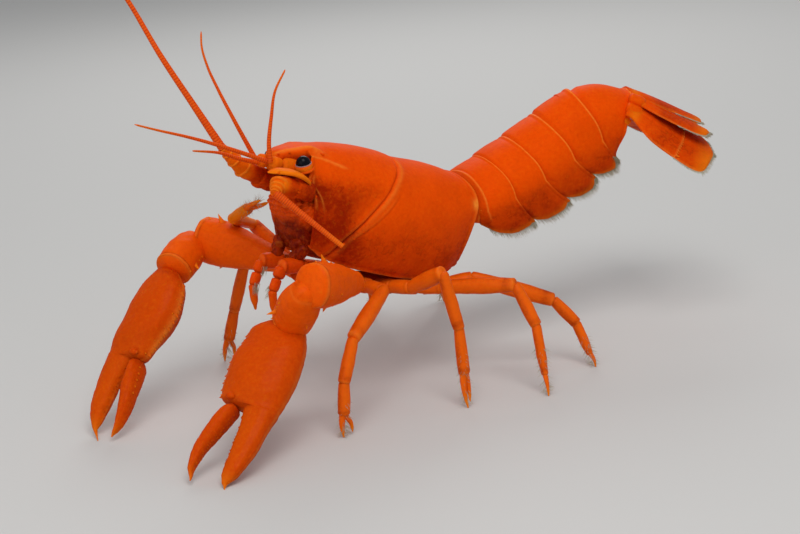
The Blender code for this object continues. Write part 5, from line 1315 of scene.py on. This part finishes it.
def build_legs():
    """Four walking legs a side; the first two end in a small pincer, the others in a curved claw point."""
    for side_name, sign in SIDES:
        for number in LEG_NUMBERS:
            root = leg_root(number, sign)
            hip, knee, wrist, foot = [floor_point(*p) for p in LIMB_JOINTS[(f"leg_{number}", side_name)]]
            mid = root + 0.45 * (hip - root)
            thigh, shin = unit(knee - hip), unit(wrist - knee)
            upper = [
                leg_article(root - sign * 0.7 * BODY_LEFT, mid, STRAIGHT_UP, 1.5, 1.6, 1.5, 0.85),
                leg_article(mid - unit(hip - mid) * 0.4, hip + thigh * 0.4, STRAIGHT_UP, 1.25, 1.35, 1.3,
                            0.95),
                leg_article(hip - thigh * 0.3, knee + thigh * 0.25, STRAIGHT_UP, 1.1, 1.35, 1.15, 1.12,
                            around=22, rows=34),
            ]
            name = f"leg_{number}_upper"
            make_piece(f"{name}_shell_{side_name}", upper, "leg_shell", [f"{name}_{side_name}"])
            if number <= 3:
                lower = pincer_shells(number, side_name, knee, wrist, foot)
            else:
                ankle = wrist + 0.7 * (foot - wrist)
                point = np.array([foot[0], foot[1], 0.05])
                down = unit(ankle - wrist)
                lower = [
                    leg_article(knee - shin * 0.2, wrist + shin * 0.35, BODY_AHEAD, 0.95, 1.1, 1.0, 1.05),
                    leg_article(wrist - down * 0.2, ankle + down * 0.25, BODY_AHEAD, 0.85, 0.85, 0.62, 1.05,
                                rows=32),
                    claw_point(ankle - unit(point - ankle) * 0.2, point, 0.5),
                ]
            name = f"leg_{number}_lower"
            make_piece(f"{name}_shell_{side_name}", lower, "leg_shell", [f"{name}_{side_name}"])


def claw_point(start, end, radius):
    """Curved, pointed last article that stands on a small flat."""
    t = np.linspace(0, 1, 26)
    direction = unit(end - start)
    side = unit(np.cross(direction, STRAIGHT_UP))
    up = np.cross(side, direction)
    r = radius * (1 - 0.72 * t ** 1.2) * np.sqrt(np.clip(t * 8 + 0.05, 0, 1))
    centres = start + (end - start) * t[:, None] + up * (0.35 * np.sin(math.pi * t))[:, None]
    grid = oval_grid(centres, side, up, r, r, 16)
    grid[..., 2] = np.maximum(grid[..., 2], min(end[2], start[2]))
    return tube_shell(grid, {"tip": 0.8 * ramp(0.45, 1.0, t)[:, None]})


def finger_grid(points, count, stations, radii, flat):
    """Rings of a small pincer finger along a smooth path, with its height as a share of its width."""
    line = path_points(points, count)
    _, side, up = path_axes(line, BODY_AHEAD)
    r = np.interp(np.linspace(0, 1, count), stations, radii)
    return oval_grid(line, side, up, r, r * flat, 16)


def pincer_shells(number, side_name, knee, wrist, foot):
    """Lower leg with a carpus and a hand whose fixed and moving fingers part by the gape."""
    axis, shin = unit(foot - wrist), unit(wrist - knee)
    length = np.linalg.norm(foot - wrist)
    across = -unit(np.cross(axis, np.cross(BODY_AHEAD, axis)))
    gape = PINCER_GAPE[(number, side_name)]
    split = wrist + axis * length * 0.55
    tip = foot + np.array([0.0, 0.0, 0.06])
    finger_tip = wrist + axis * length * 0.93 + across * (0.4 + gape)
    turn = split + axis * length * 0.2 + across * (0.5 + gape * 0.62)
    moving = finger_grid(
        [split - axis * 0.9 + across * 0.35, split + axis * 0.6 + across * 0.5, turn, finger_tip], 30,
        (0, 0.15, 0.5, 0.85, 1), (0.2, 0.52, 0.46, 0.3, 0.08), 1.0)
    fixed = finger_grid(
        [split - axis * 1.2 - across * 0.2, split - across * 0.28, split + axis * length * 0.22
         - across * 0.45, tip], 34,
        (0, 0.12, 0.4, 0.8, 1), (0.3, 0.62, 0.55, 0.33, 0.12), 1.1)
    fixed[..., 2] = np.maximum(fixed[..., 2], min(foot[2], wrist[2]))
    amber = {"tip": 0.55 if (number, side_name) == (2, "right") else 0.0}
    return [
        leg_article(knee - shin * 0.2, wrist + shin * 0.35, BODY_AHEAD, 0.95, 1.1, 1.0, 1.05, masks=amber),
        leg_article(wrist - axis * 0.2, split + axis * 0.5, BODY_AHEAD, 0.85, 0.98, 0.95, 1.15, rows=30,
                    masks=amber),
        *[tube_shell(grid, {"tip": 0.8 * ramp(0.5, 1, np.linspace(0, 1, len(grid)))[:, None]})
          for grid in (moving, fixed)],
    ]


# Abdomen and tail


def segment_frames():
    """Back, left and up directions of each abdomen segment, turned by its pitch and yaw."""
    frames = []
    for pitch, yaw in zip(np.radians(SEGMENT_PITCH), np.radians(SEGMENT_YAW)):
        level = -math.cos(pitch) * BODY_AHEAD + math.sin(pitch) * BODY_UP
        back = unit(math.cos(yaw) * level + math.sin(yaw) * BODY_LEFT)
        left = unit(math.cos(yaw) * BODY_LEFT - math.sin(yaw) * level)
        up = np.cross(back, left)
        frames.append((back, left, up if up @ BODY_UP > 0 else -up))
    return frames


def hinge_line():
    """Joints of the abdomen, its segment frames, joint directions and leaning joint planes."""
    frames = segment_frames()
    joints = [body_point(HINGE_START[0], 0.0, HINGE_START[1])]
    for length, (back, _, _) in zip(SEGMENT_LENGTH, frames):
        joints.append(joints[-1] + length * back)
    backs = [-BODY_AHEAD] + [f[0] for f in frames]
    across = [unit(a + b) for a, b in zip(backs, backs[1:])]
    planes = []
    for lean, direction in zip(JOINT_LEAN, across):
        upward = unit(np.cross(BODY_LEFT, direction))
        upward = upward if upward @ BODY_UP > 0 else -upward
        planes.append(unit(direction + lean * upward))
    return joints, frames, across, planes


def arch_outline(half, dorsal, pleura):
    """Side and height round a segment: an arch over the back, a rounded lobe each side, hollow below."""
    angle = np.linspace(-math.pi / 2, math.pi / 2, 61)
    ones = np.ones_like(half)
    arch = [(half * math.sin(a), dorsal * math.cos(a)) for a in angle]
    lobe = []
    for t in np.linspace(0.08, 1.0, 12):
        lobe.append((half * (1 - 0.1 * t ** 2.5), -pleura * t))
    for t in (0.98, 0.85, 0.65, 0.45):
        lobe.append((half * 0.93 - 0.75 * ones, -pleura * t))
    lobe.append((half - 2.2, -2.2 * ones))
    points = [(-s, h) for s, h in reversed(lobe)] + arch + lobe
    side = np.stack([s * ones for s, _ in points], -1)
    height = np.stack([h * ones for _, h in points], -1)
    return side, height


def abdomen_grid(k):
    """Ring grid of one abdomen shell with its side distances, heights, lobe depths and outward directions.

    Arches run between leaning joint planes; the part below the hinge line is swept back by its depth.
    """
    joints, frames, across, planes = hinge_line()
    back, left, up = frames[k]
    t = np.concatenate([np.linspace(0.0, 0.1, 7), np.linspace(0.12, 0.86, 34), np.linspace(0.875, 1.0, 15)])
    bulge = 0.25 * np.sin(math.pi * t)
    half = JOINT_HALF_WIDTH[k] + (JOINT_HALF_WIDTH[k + 1] - JOINT_HALF_WIDTH[k]) * t + bulge
    dorsal = JOINT_DORSAL[k] + (JOINT_DORSAL[k + 1] - JOINT_DORSAL[k]) * t + bulge
    first = 0.9 * min(PLEURA_DEPTH[max(k - 1, 0)], PLEURA_DEPTH[k])
    last = 0.9 * min(PLEURA_DEPTH[k], PLEURA_DEPTH[min(k + 1, 4)])
    pleura = smooth((0.0, 0.36, 0.64, 1.0), (0.8 * first, 0.97 * PLEURA_DEPTH[k], PLEURA_DEPTH[k], last), t)
    if k == 0:
        pleura = PLEURA_DEPTH[0] * smooth((0.0, 0.3, 0.6, 0.85, 1.0), (0.3, 0.66, 0.84, 0.86, 0.8), t)
    side, height = arch_outline(half, dorsal, pleura)
    ring = joints[k] + side[..., None] * left + height[..., None] * up
    start = ((joints[k] - 0.55 * planes[k] - ring) @ planes[k]) / (back @ planes[k])
    end = ((joints[k + 1] + 0.03 * planes[k + 1] - ring) @ planes[k + 1]) / (back @ planes[k + 1])
    if k == 4:
        end = end + 2.1 * ramp(0.5, 6.0, height) - 3.8 * ramp(0.5, -4.5, height)
    else:
        end = end + 1.7 * ramp(-5.0, 4.5, height)
    grid = ring + (start + (end - start) * t[:, None])[..., None] * back
    sweep_way = unit(across[k] + (across[k + 1] - across[k]) * t[:, None])
    grid = grid + (PLEURA_SWEEP * np.maximum(0.0, -height))[..., None] * sweep_way[:, None]
    if k == 4:
        fall = 2.0 * (ramp(0.4, 1.0, t) ** 1.4)[:, None] * np.clip(height / dorsal[:, None], 0, 1)
        grid = grid - fall[..., None] * up
    outward = unit(side[..., None] * left / half[:, None, None] ** 2
                   + np.maximum(height, -1.0)[..., None] * up / dorsal[:, None, None] ** 2)
    return t, grid, side, height, pleura, outward


def build_abdomen():
    """Abdomen shells: smooth arches with a thin light rear rim over the next shell's tucked-in front."""
    joints, frames, _, planes = hinge_line()
    for k in range(5):
        t, grid, side, height, pleura, outward = abdomen_grid(k)
        skin = np.zeros(side.shape[1], bool)
        skin[5:-5] = True
        u = t[:, None]
        crest = ramp(-3.0, 0.5, height)
        tuck = 0.5 * (1 - ramp(0.2, 0.32, u))
        if k == 0:
            tuck = 0.42 * (1 - ramp(0.0, 0.1, u)) - 0.1 * bell(u - 0.19, 0.035) + 0.12 * bell(u - 0.25, 0.03)
        push = (0.1 * bell(u - 0.97, 0.035) - 0.06 * bell(u - 0.9, 0.03) - 0.42 * (1 - ramp(0.0, 0.13, u))
                * (1 - crest))
        push = push - tuck * crest
        push = push + 0.04 * unevenness(grid, 6.0, 40 + k) + 0.012 * unevenness(grid, 1.2, 50 + k)
        push = (push + 0.1 * bell(height + 0.5, 0.6) * bell(u - 0.8, 0.3) - 0.1 * bell(height + 2.2, 0.7)
                * bell(u - 0.5, 0.35))
        grid = grid + outward * (push * skin)[..., None]
        low_edge = ramp(-0.8, -0.99, height / pleura[:, None])
        rim = bell(u - 0.975, 0.013)
        light = 0.65 * rim * crest + 0.06 * rim * (1 - crest) + 0.15 * low_edge * skin
        if k == 0:
            light = light + 0.6 * bell(u - 0.2, 0.022) * crest
        # Darker toward the bottom of each shell, at the tucked front under the shell before, and on the
        # hollow underside columns: painted shade
        dark = 0.8 * ramp(1.5, -5.0, height) + 0.25 * bell(u - 0.12, 0.05) + (~skin)[None, :] * 0.8
        shells = [tube_shell(grid, {"light": light, "dark": dark, "tip": 0.25 * low_edge})]
        nodes = [f"abdomen_{k + 2}"]
        if k == 0:
            shells.append(first_segment(joints[0], planes[0]))
            nodes.append("abdomen_1")
        if k == 4:
            shells += [hinge_spot(joints[5], frames, sign) for _, sign in SIDES]
        make_piece(f"abdomen_shell_{k + 2}", shells, "shell", nodes)


def hinge_spot(joint, frames, sign):
    """Pale hinge knob between the last abdomen shell and the tail fan."""
    (back, left, up), (tail_back, _, _) = frames[4:6]
    out = sign * left
    place = joint + out * (JOINT_HALF_WIDTH[5] - 0.4) + 1.5 * up
    return article(
        place - back * 0.9, place + tail_back * 1.0, out, (0, 0.5, 1), (0.6, 0.75, 0.6), (0.45, 0.55, 0.45),
        20, 16,
        masks={"tip": 0.5})


def first_segment(joint, plane):
    """First, narrow abdomen ring that slides under the carapace edge."""
    t = np.linspace(0, 1, 12)
    side, height = arch_outline(np.full(12, 7.1), np.full(12, 5.2), np.full(12, 2.4))
    ring = joint + BODY_AHEAD * 2.5 + side[..., None] * BODY_LEFT + height[..., None] * BODY_UP
    end = ((joint - ring) @ plane) / (-BODY_AHEAD @ plane)
    grid = ring + (end * t[:, None])[..., None] * -BODY_AHEAD
    # The ring is darkened all over as painted shade under the carapace edge; the light band near its rear is
    # a pale rim
    return tube_shell(grid, {"dark": 0.5, "light": 0.4 * bell(t - 0.8, 0.1)[:, None]})


def fan_plates():
    """Five tail plates: name, root, back, across and normal, length, widths, thickness, outer share."""
    joints, frames, _, _ = hinge_line()
    back, left, up = frames[5]
    joint = joints[-1]
    length, half, thick, share = TELSON_TABLE
    plates = [("telson", joint + back * 0.75 + up * 5.4, back, left, up, length, half, thick, share)]
    for side_name, sign in SIDES:
        for kind, droops, splay, out, low, length, half, share in FAN_TABLE:
            d, s = math.radians(droops[side_name]), math.radians(splay)
            outward = unit(sign * left * math.cos(d) - up * math.sin(d))
            direction = unit(back * math.cos(s) + outward * math.sin(s))
            across = unit(outward - (outward @ direction) * direction)
            normal = np.cross(direction, across)
            normal = normal if normal @ up > 0 else -normal
            start = joint + back * 0.75 + sign * left * out + up * low
            plates.append((f"tail_{kind}_{side_name}", start, direction, across, normal, length, half,
                           PLATE_THICKNESS, share))
    return plates


def plate_surface(plate, s, c):
    """Middle surface of a tail plate at length share s and width share c, with camber and a rounded tip."""
    _, root, back, across, normal, length, half, _, share = plate
    half = tuple(half[:3]) + tuple(v * w for v, w in zip(half[3:], (1.08, 1.35, 1.9)))
    width = smooth(PLATE_STATIONS, half, np.clip(s, 0, 1)) * np.sqrt(1
        - 0.97 * np.clip((s - 0.7) / 0.3, 0, 1) ** 2.6)
    camber = (0.3 if plate[0] == "telson" else 0.16) * (0.35 - c * c) * width
    tip = length * s
    side = width * c + smooth(PLATE_STATIONS, half, np.clip(s, 0, 1)) * share
    return root + tip[..., None] * back + side[..., None] * across + camber[..., None] * normal, width


def seam_share(c):
    """Length share of the outer plates' toothed seam at each width share."""
    return 0.6 + 0.02 * np.cos(c * 2.5)


def build_tail_fan():
    """Tail fan: cambered plates with a low middle rib, thin rims and a toothed seam on the outer pair."""
    x = np.linspace(0, 1, 90)
    s, c = np.broadcast_arrays((-0.07 + 1.07 * (1 - (1 - x) ** 1.35))[:, None],
                               np.linspace(-1, 1, 49)[None, :])
    for plate in fan_plates():
        name, root, back, across, normal, _, half, thickness, share = plate
        surface, _ = plate_surface(plate, s, c)
        outer = name.startswith("tail_exopod")
        thick = smooth(PLATE_STATIONS, thickness, np.clip(s, 0, 1)) / 2
        thick = thick * np.sqrt(np.clip(1.02 - np.abs(c) ** 2.6, 0.02, 1))
        thick = thick * np.sqrt(np.clip((1 - s) / 0.04, 0.1, 1))
        if name == "telson":
            rib = 0.1 * (bell(c - 0.35, 0.08) + bell(c + 0.35, 0.08)) - 0.08 * bell(c, 0.12)
            rib = rib * (1 - ramp(0.5, 0.8, s)) * ramp(0.0, 0.2, s)
        else:
            rib = 0.16 * bell(c - 0.05, 0.07) * (1 - ramp(0.4, 0.9, s)) * ramp(0.0, 0.15, s)
        past = s - seam_share(c)
        seam = 0.12 * bell(past + 0.012, 0.012) - 0.1 * bell(past - 0.01, 0.01) if outer else 0.0
        relief = (rib + seam + 0.02 * np.cos(c * 40.0) * ramp(0.35, 0.75, s)
                  + 0.03 * unevenness(surface, 3.0, 61))
        upper = surface + normal * (thick + relief * np.minimum(1, thick * 4))[..., None]
        lower = surface - normal * (thick - 0.2 * relief * np.minimum(1, thick * 4))[..., None]
        edge = ramp(0.9, 0.99, np.abs(c)) * ramp(0.05, 0.3, s) + ramp(0.97, 1.0, s)
        light = np.clip(0.3 * edge + (0.45 * bell(past + 0.01, 0.01) if outer else 0), 0, 1)
        tip = (0.6 * ramp(0.72, 1.0, s) * (0.35 + 0.65 * ramp(-0.4, 0.6, c) if outer else 1.0)
               + 0.4 * bell(s - 0.02, 0.06))
        dark = 0.4 * ramp(0.1, 0.4, s) * (1 - ramp(0.75, 1.0, s)) + 0.12
        shells = [plate_shell(upper, lower, {"light": light, "tip": tip, "dark": dark})]
        if outer:
            teeth = np.linspace(-0.92, 0.92, 17)
            places, _ = plate_surface(plate, seam_share(teeth), teeth)
            size = np.where(np.abs(teeth) > 0.9, 0.7, 0.28)
            shells.append(spines(places + normal * 0.3, back + 0.15 * normal, size, 0.4 * size + 0.04,
                                 {"light": 0.4}, 6))
        if name == "telson":
            places, _ = plate_surface(plate, np.array([0.66, 0.66]), np.array([-0.95, 0.95]))
            shells.append(spines(places, back, 0.7, 0.28, None, 6))
        else:
            hip = root + across * half[0] * share
            shells.append(limb_article(hip - back * 1.6, hip + back * 2.0, normal, 1.5, 1.7, 1.3, 0.62,
                                       masks={"tip": 0.05}))
        make_piece(name.replace("tail_", "fan_") + "_plate", shells, "shell", [name])


def build_swimmerets():
    """Swimmerets: four pairs of short stalks with two flat leaves each, hung in the hollow of the abdomen."""
    joints, frames, _, _ = hinge_line()
    shells = []
    pale = {"light": lambda t: 0.15 + 0.3 * t, "tip": lambda t: 0.3 * t}
    for k in range(4):
        back, left, up = frames[k]
        middle = (joints[k] + joints[k + 1]) / 2
        for _, sign in SIDES:
            side_root = middle + sign * left * 4.3
            root, knee, end = [side_root + back * b + up * h
                               for b, h in ((0.0, -1.6), (0.4, -3.8), (3.3, -7.3))]
            shells.append(limb_article(root, knee, back, 0.6, 0.62, 0.55, 0.8, around=16, rows=16))
            for offset in (0.45, -0.5):
                shells.append(article(
                    knee, end + sign * left * offset * 1.3, sign * left, (0, 0.3, 0.7, 1),
                    (0.45, 0.85, 0.95, 0.35),
                    (0.22, 0.26, 0.24, 0.15), 16, 22, bow=0.3, masks=pale))
    make_piece("swimmerets", shells, "leg_shell", [])


def build_fringes():
    """Setae: dense rows on the fan rims and side lobes, and sparse bristles on legs and jaw legs."""
    form = bpy.context.scene.crayfish_form
    long_hair, radius = form.fringe_length * PER_METRE, form.hair_radius * PER_METRE
    shells = []
    run = np.linspace(0, 1, 520)
    arc = np.clip((run - RIM_TURN) / 0.44, 0, 1) * math.pi
    before, after = run < RIM_TURN, run > 1 - RIM_TURN
    middle_part = (run >= RIM_TURN) & (run <= 1 - RIM_TURN)
    c = np.where(before, -1.0, np.where(after, 1.0, -np.cos(arc)))
    for plate in fan_plates():
        inner_edge = 0.3 if plate[8] else 0.6
        outer_side = np.where(after, 0.9 - 0.35 * (run - 0.72) / RIM_TURN, 0.0)
        s = np.where(before, inner_edge + (0.9 - inner_edge) * run / RIM_TURN, outer_side)
        s = np.where(middle_part, 0.9 + 0.098 * np.sin(arc), s)
        place, _ = plate_surface(plate, s, c)
        middle, _ = plate_surface(plate, np.clip(s - 0.12, 0, 1), c * 0.5)
        way = unit(place - middle) + 0.35 * plate[2]
        shells.append(hairs(place, way, long_hair * (0.4 + 0.3 * middle_part), radius, 0.1,
                            100 + len(shells)))
    make_fringe("fan_fringe", shells)
    _, frames, _, _ = hinge_line()
    shells = []
    for k in range(5):
        _, grid, _, height, _, _ = abdomen_grid(k)
        back, _, up = frames[k]
        low = np.argmin(height[20])
        at = np.linspace(6, len(grid) - 2.0, 130)
        index = at.astype(int)
        for column in (low, grid.shape[1] - 1 - low):
            edge = grid[:, column]
            place = edge[index] + (edge[index + 1] - edge[index]) * (at - index)[:, None] + up * 0.05
            shells.append(hairs(place, -up + 0.35 * back, long_hair * 1.1, radius, 0.1, 200 + len(shells)))
    make_fringe("lobe_fringe", shells)
    shells = []
    rng = np.random.default_rng(77)
    for side_name, sign in SIDES:
        for number in LEG_NUMBERS:
            _, _, wrist, foot = [floor_point(*p) for p in LIMB_JOINTS[(f"leg_{number}", side_name)]]
            way = unit(foot - wrist)
            t = rng.uniform(0.3, 0.95, LEG_BRISTLES)
            turn = rng.uniform(0, 2 * math.pi, LEG_BRISTLES)
            side = unit(np.cross(way, BODY_AHEAD))
            out = np.cos(turn)[:, None] * side + np.sin(turn)[:, None] * np.cross(side, way)
            place = wrist + (foot - wrist) * t[:, None] + out * (0.8 - 0.45 * t)[:, None]
            lean = unit(out * 0.9 + way * 0.6)
            lean[:, 2] = np.maximum(lean[:, 2], (0.5 - place[:, 2]) / 1.5)
            shells.append(hairs(place, lean, 1.4, radius * 0.9, 0.0, 300 + len(shells)))
        for a, s, h in ((36.8, 3.0, -21.0), (38.0, 3.0, -24.2)):
            ahead, left = a + rng.uniform(-0.6, 0.6, 40), s * sign - sign * 0.9 + rng.uniform(-0.3, 0.3, 40)
            place = body_point(ahead, left, h + rng.uniform(-1.2, 0.6, 40))
            lean = BODY_AHEAD * 0.3 - BODY_UP - sign * 0.4 * BODY_LEFT
            shells.append(hairs(place, lean, 1.1, radius * 0.8, 0.1, 300 + len(shells)))
    make_fringe("leg_bristles", shells)


# Stage


def build_stage():
    """Pale floor, soft world light, three area lights and the camera at the viewing angle."""
    scene = bpy.context.scene
    stage = scene.crayfish_stage
    mesh = bpy.data.meshes.new("floor")
    mesh.from_pydata([(x * FLOOR_REACH, y * FLOOR_REACH, 0) for x, y in ((-1, -1), (1, -1), (1, 1), (-1, 1))],
                     [], [(0, 1, 2, 3)])
    material, _, shader, _ = material_tree("floor_paper")
    set_inputs(shader, {"Base Color": (*stage.floor_colour, 1.0), "Roughness": 0.85})
    mesh.materials.append(material)
    floor = bpy.data.objects.new("floor", mesh)
    scene.collection.objects.link(floor)
    scene.view_settings.view_transform = "Standard"
    world = bpy.data.worlds.new("studio")
    world.use_nodes = True
    set_inputs(world.node_tree.nodes["Background"],
               {"Color": (*stage.sky_colour, 1.0), "Strength": stage.sky_strength})
    scene.world = world
    for name, place, size, share in LAMPS:
        light = bpy.data.lights.new(name, "AREA")
        light.size = size
        light.energy = stage.key_power * share
        lamp = bpy.data.objects.new(name, light)
        lamp.matrix_world = look_matrix(unit(np.array(place) - LAMP_AIM), np.array(place))
        scene.collection.objects.link(lamp)
    data = bpy.data.cameras.new("camera")
    data.lens = stage.lens
    data.sensor_width = SENSOR_WIDTH
    data.clip_start, data.clip_end = CLIP_RANGE
    camera = bpy.data.objects.new("camera", data)
    camera.matrix_world = look_matrix(unit(VIEW_BACK), CAMERA_PLACE + SHIFT, VIEW_RIGHT)
    scene.collection.objects.link(camera)
    scene.camera = camera


def look_matrix(back, place, right=None):
    """World matrix with the given back direction; right is square to it, level unless it is given."""
    right = np.cross(STRAIGHT_UP, back) if right is None else right
    right = unit(right - (right @ back) * back)
    up = np.cross(back, right)
    rows = [[*map(float, (right[i], up[i], back[i], place[i]))] for i in range(3)]
    return Matrix(rows + [[0.0, 0.0, 0.0, 1.0]])


# Add-on classes


def colour_property(name, description, default):
    """Colour property with a name, a description and its default."""
    return bpy.props.FloatVectorProperty(
        name=name, description=description, default=default, size=3, min=0.0, max=1.0, subtype="COLOR")


def length_property(name, description, default, low, high):
    """Length property in metres with its default and its range."""
    return bpy.props.FloatProperty(
        name=name, description=description, default=default, min=low, max=high, unit="LENGTH", precision=6)


class CrayfishColours(bpy.types.PropertyGroup):
    """Colours of the finishes."""

    shell: colour_property("Shell", "Main colour of the carapace and abdomen", (0.84, 0.075, 0.001))
    # Shell shade: the cheek mottling and blotches, and also the painted shade low on the carapace and
    # abdomen, under the body and inside the shells
    shell_deep: colour_property("Shell shade", "Darker red of cheeks, lobes and blotches",
                                (0.30, 0.014, 0.001))
    # Mouth: partly the mouth's own maroon, partly painted shade under the head
    mouth: colour_property("Mouth", "Dark maroon of the mouth and its folds", (0.13, 0.004, 0.001))
    claw: colour_property("Claw", "Main colour of the claws and arms", (0.62, 0.062, 0.001))
    # Claw shade: the claw blotches and dark joints, and also the painted shade on the claws' lower faces
    claw_deep: colour_property("Claw shade", "Darker orange of the claw blotches", (0.34, 0.022, 0.001))
    leg: colour_property("Leg", "Main colour of the walking legs", (0.86, 0.125, 0.003))
    feeler: colour_property("Feeler", "Main colour of antennae, antennules and scales", (0.78, 0.08, 0.006))
    # Pale line: the pale rims and grooves, and also the painted highlights on the antennal scales and mouth
    # knobs
    pale_line: colour_property("Pale line", "Light lines on rims and grooves", (0.95, 0.27, 0.03))
    # Yellow edge: tips and edges, and partly the painted highlight on the antennal scales
    yellow_edge: colour_property("Yellow edge", "Yellow orange of tips and edges", (0.90, 0.25, 0.006))
    cornea: colour_property("Cornea", "Colour of the eyes", (0.003, 0.003, 0.006))
    eye_rim: colour_property("Eye rim", "Grey rim round the eye", (0.36, 0.2, 0.2))
    hair: colour_property("Setae", "Colour of the fringe hairs", (0.46, 0.40, 0.27))


class CrayfishForm(bpy.types.PropertyGroup):
    """Sizes of the fine forms."""

    groove_depth: length_property("Groove depth", "Depth of the neck groove", 0.00042, 0.0, 0.001)
    fringe_length: length_property("Fringe length", "Length of the tail fringe hairs", 0.0014, 0.0005, 0.003)
    hair_radius: length_property("Hair radius", "Radius of a hair at its root", 0.00005, 0.00002, 0.0001)


class CrayfishStage(bpy.types.PropertyGroup):
    """Floor, lights and camera."""

    floor_colour: colour_property("Floor", "Colour of the plain floor", (0.60, 0.59, 0.57))
    sky_colour: colour_property("Sky", "Colour of the soft light all round", (0.95, 0.97, 1.0))
    sky_strength: bpy.props.FloatProperty(
        name="Sky strength", description="Strength of the soft light all round", default=0.42, min=0.0,
        max=3.0)
    key_power: bpy.props.FloatProperty(
        name="Key power", description="Power of the main area light", default=1.1, min=0.0, max=100.0,
        unit="POWER")
    lens: bpy.props.FloatProperty(
        name="Lens", description="Focal length of the camera in millimetres", default=83.2, min=20.0,
        max=300.0)


def operator_class(suffix, label, doc, action):
    """Operator that runs one building function and raises on failure."""

    def execute(self, context):
        action()
        return {"FINISHED"}

    return type("CRAYFISH_OT_" + suffix, (bpy.types.Operator,), {
        "bl_idname": "crayfish." + suffix, "bl_label": label, "__doc__": doc,
        "bl_options": {"REGISTER", "UNDO"}, "execute": execute})


OPERATORS = [operator_class(*row) for row in (
    ("carapace", "Carapace", "Build the carapace with its beak, grooves and spines", build_carapace),
    ("eyes", "Eyes", "Build the two eyes and their stalks", build_eyes),
    ("feelers", "Feelers", "Build antennae, antennules and scales", build_feelers),
    ("mouth", "Mouth", "Build the mouth region and the jaw legs", build_mouth),
    ("underside", "Breast plate", "Build the plate between the legs", build_underside),
    ("claws", "Claws", "Build palms and moving fingers", build_claws),
    ("claw_arms", "Claw arms", "Build the arms and carpi of the claws", build_claw_arms),
    ("legs", "Walking legs", "Build the four pairs of walking legs", build_legs),
    ("abdomen", "Abdomen", "Build the abdomen shells", build_abdomen),
    ("tail_fan", "Tail fan", "Build the telson and the four side plates", build_tail_fan),
    ("swimmerets", "Swimmerets", "Build the swimmerets under the abdomen", build_swimmerets),
    ("fringes", "Setae", "Build the hairs of fan, lobes and legs", build_fringes),
    ("stage", "Stage", "Build the floor, lights and camera", build_stage),
)]


class CRAYFISH_PT_panel(bpy.types.Panel):
    """Lists the settings and the building steps."""

    bl_idname = "CRAYFISH_PT_panel"
    bl_label = "Apricot crayfish"
    bl_space_type = "VIEW_3D"
    bl_region_type = "UI"
    bl_category = "Crayfish"

    def draw(self, context):
        for group in (context.scene.crayfish_colours, context.scene.crayfish_form,
                      context.scene.crayfish_stage):
            box = self.layout.box()
            for key in group.__annotations__:
                box.prop(group, key)
        for operator in OPERATORS:
            self.layout.operator(operator.bl_idname)


GROUPS = (("crayfish_colours", CrayfishColours), ("crayfish_form", CrayfishForm),
          ("crayfish_stage", CrayfishStage))


def register():
    """Adds the classes and the settings to the scene."""
    for name, group in GROUPS:
        bpy.utils.register_class(group)
        setattr(bpy.types.Scene, name, bpy.props.PointerProperty(type=group))
    for item in (*OPERATORS, CRAYFISH_PT_panel):
        bpy.utils.register_class(item)


def unregister():
    """Takes the classes and the settings away."""
    for item in (CRAYFISH_PT_panel, *OPERATORS[::-1]):
        bpy.utils.unregister_class(item)
    for name, group in GROUPS[::-1]:
        delattr(bpy.types.Scene, name)
        bpy.utils.unregister_class(group)


def main():
    """Registers the classes, runs the building steps in order and writes both boxes."""
    register()
    for operator in OPERATORS:
        getattr(bpy.ops.crayfish, operator.bl_idname.split(".")[1])()


if __name__ == "__main__":
    main()
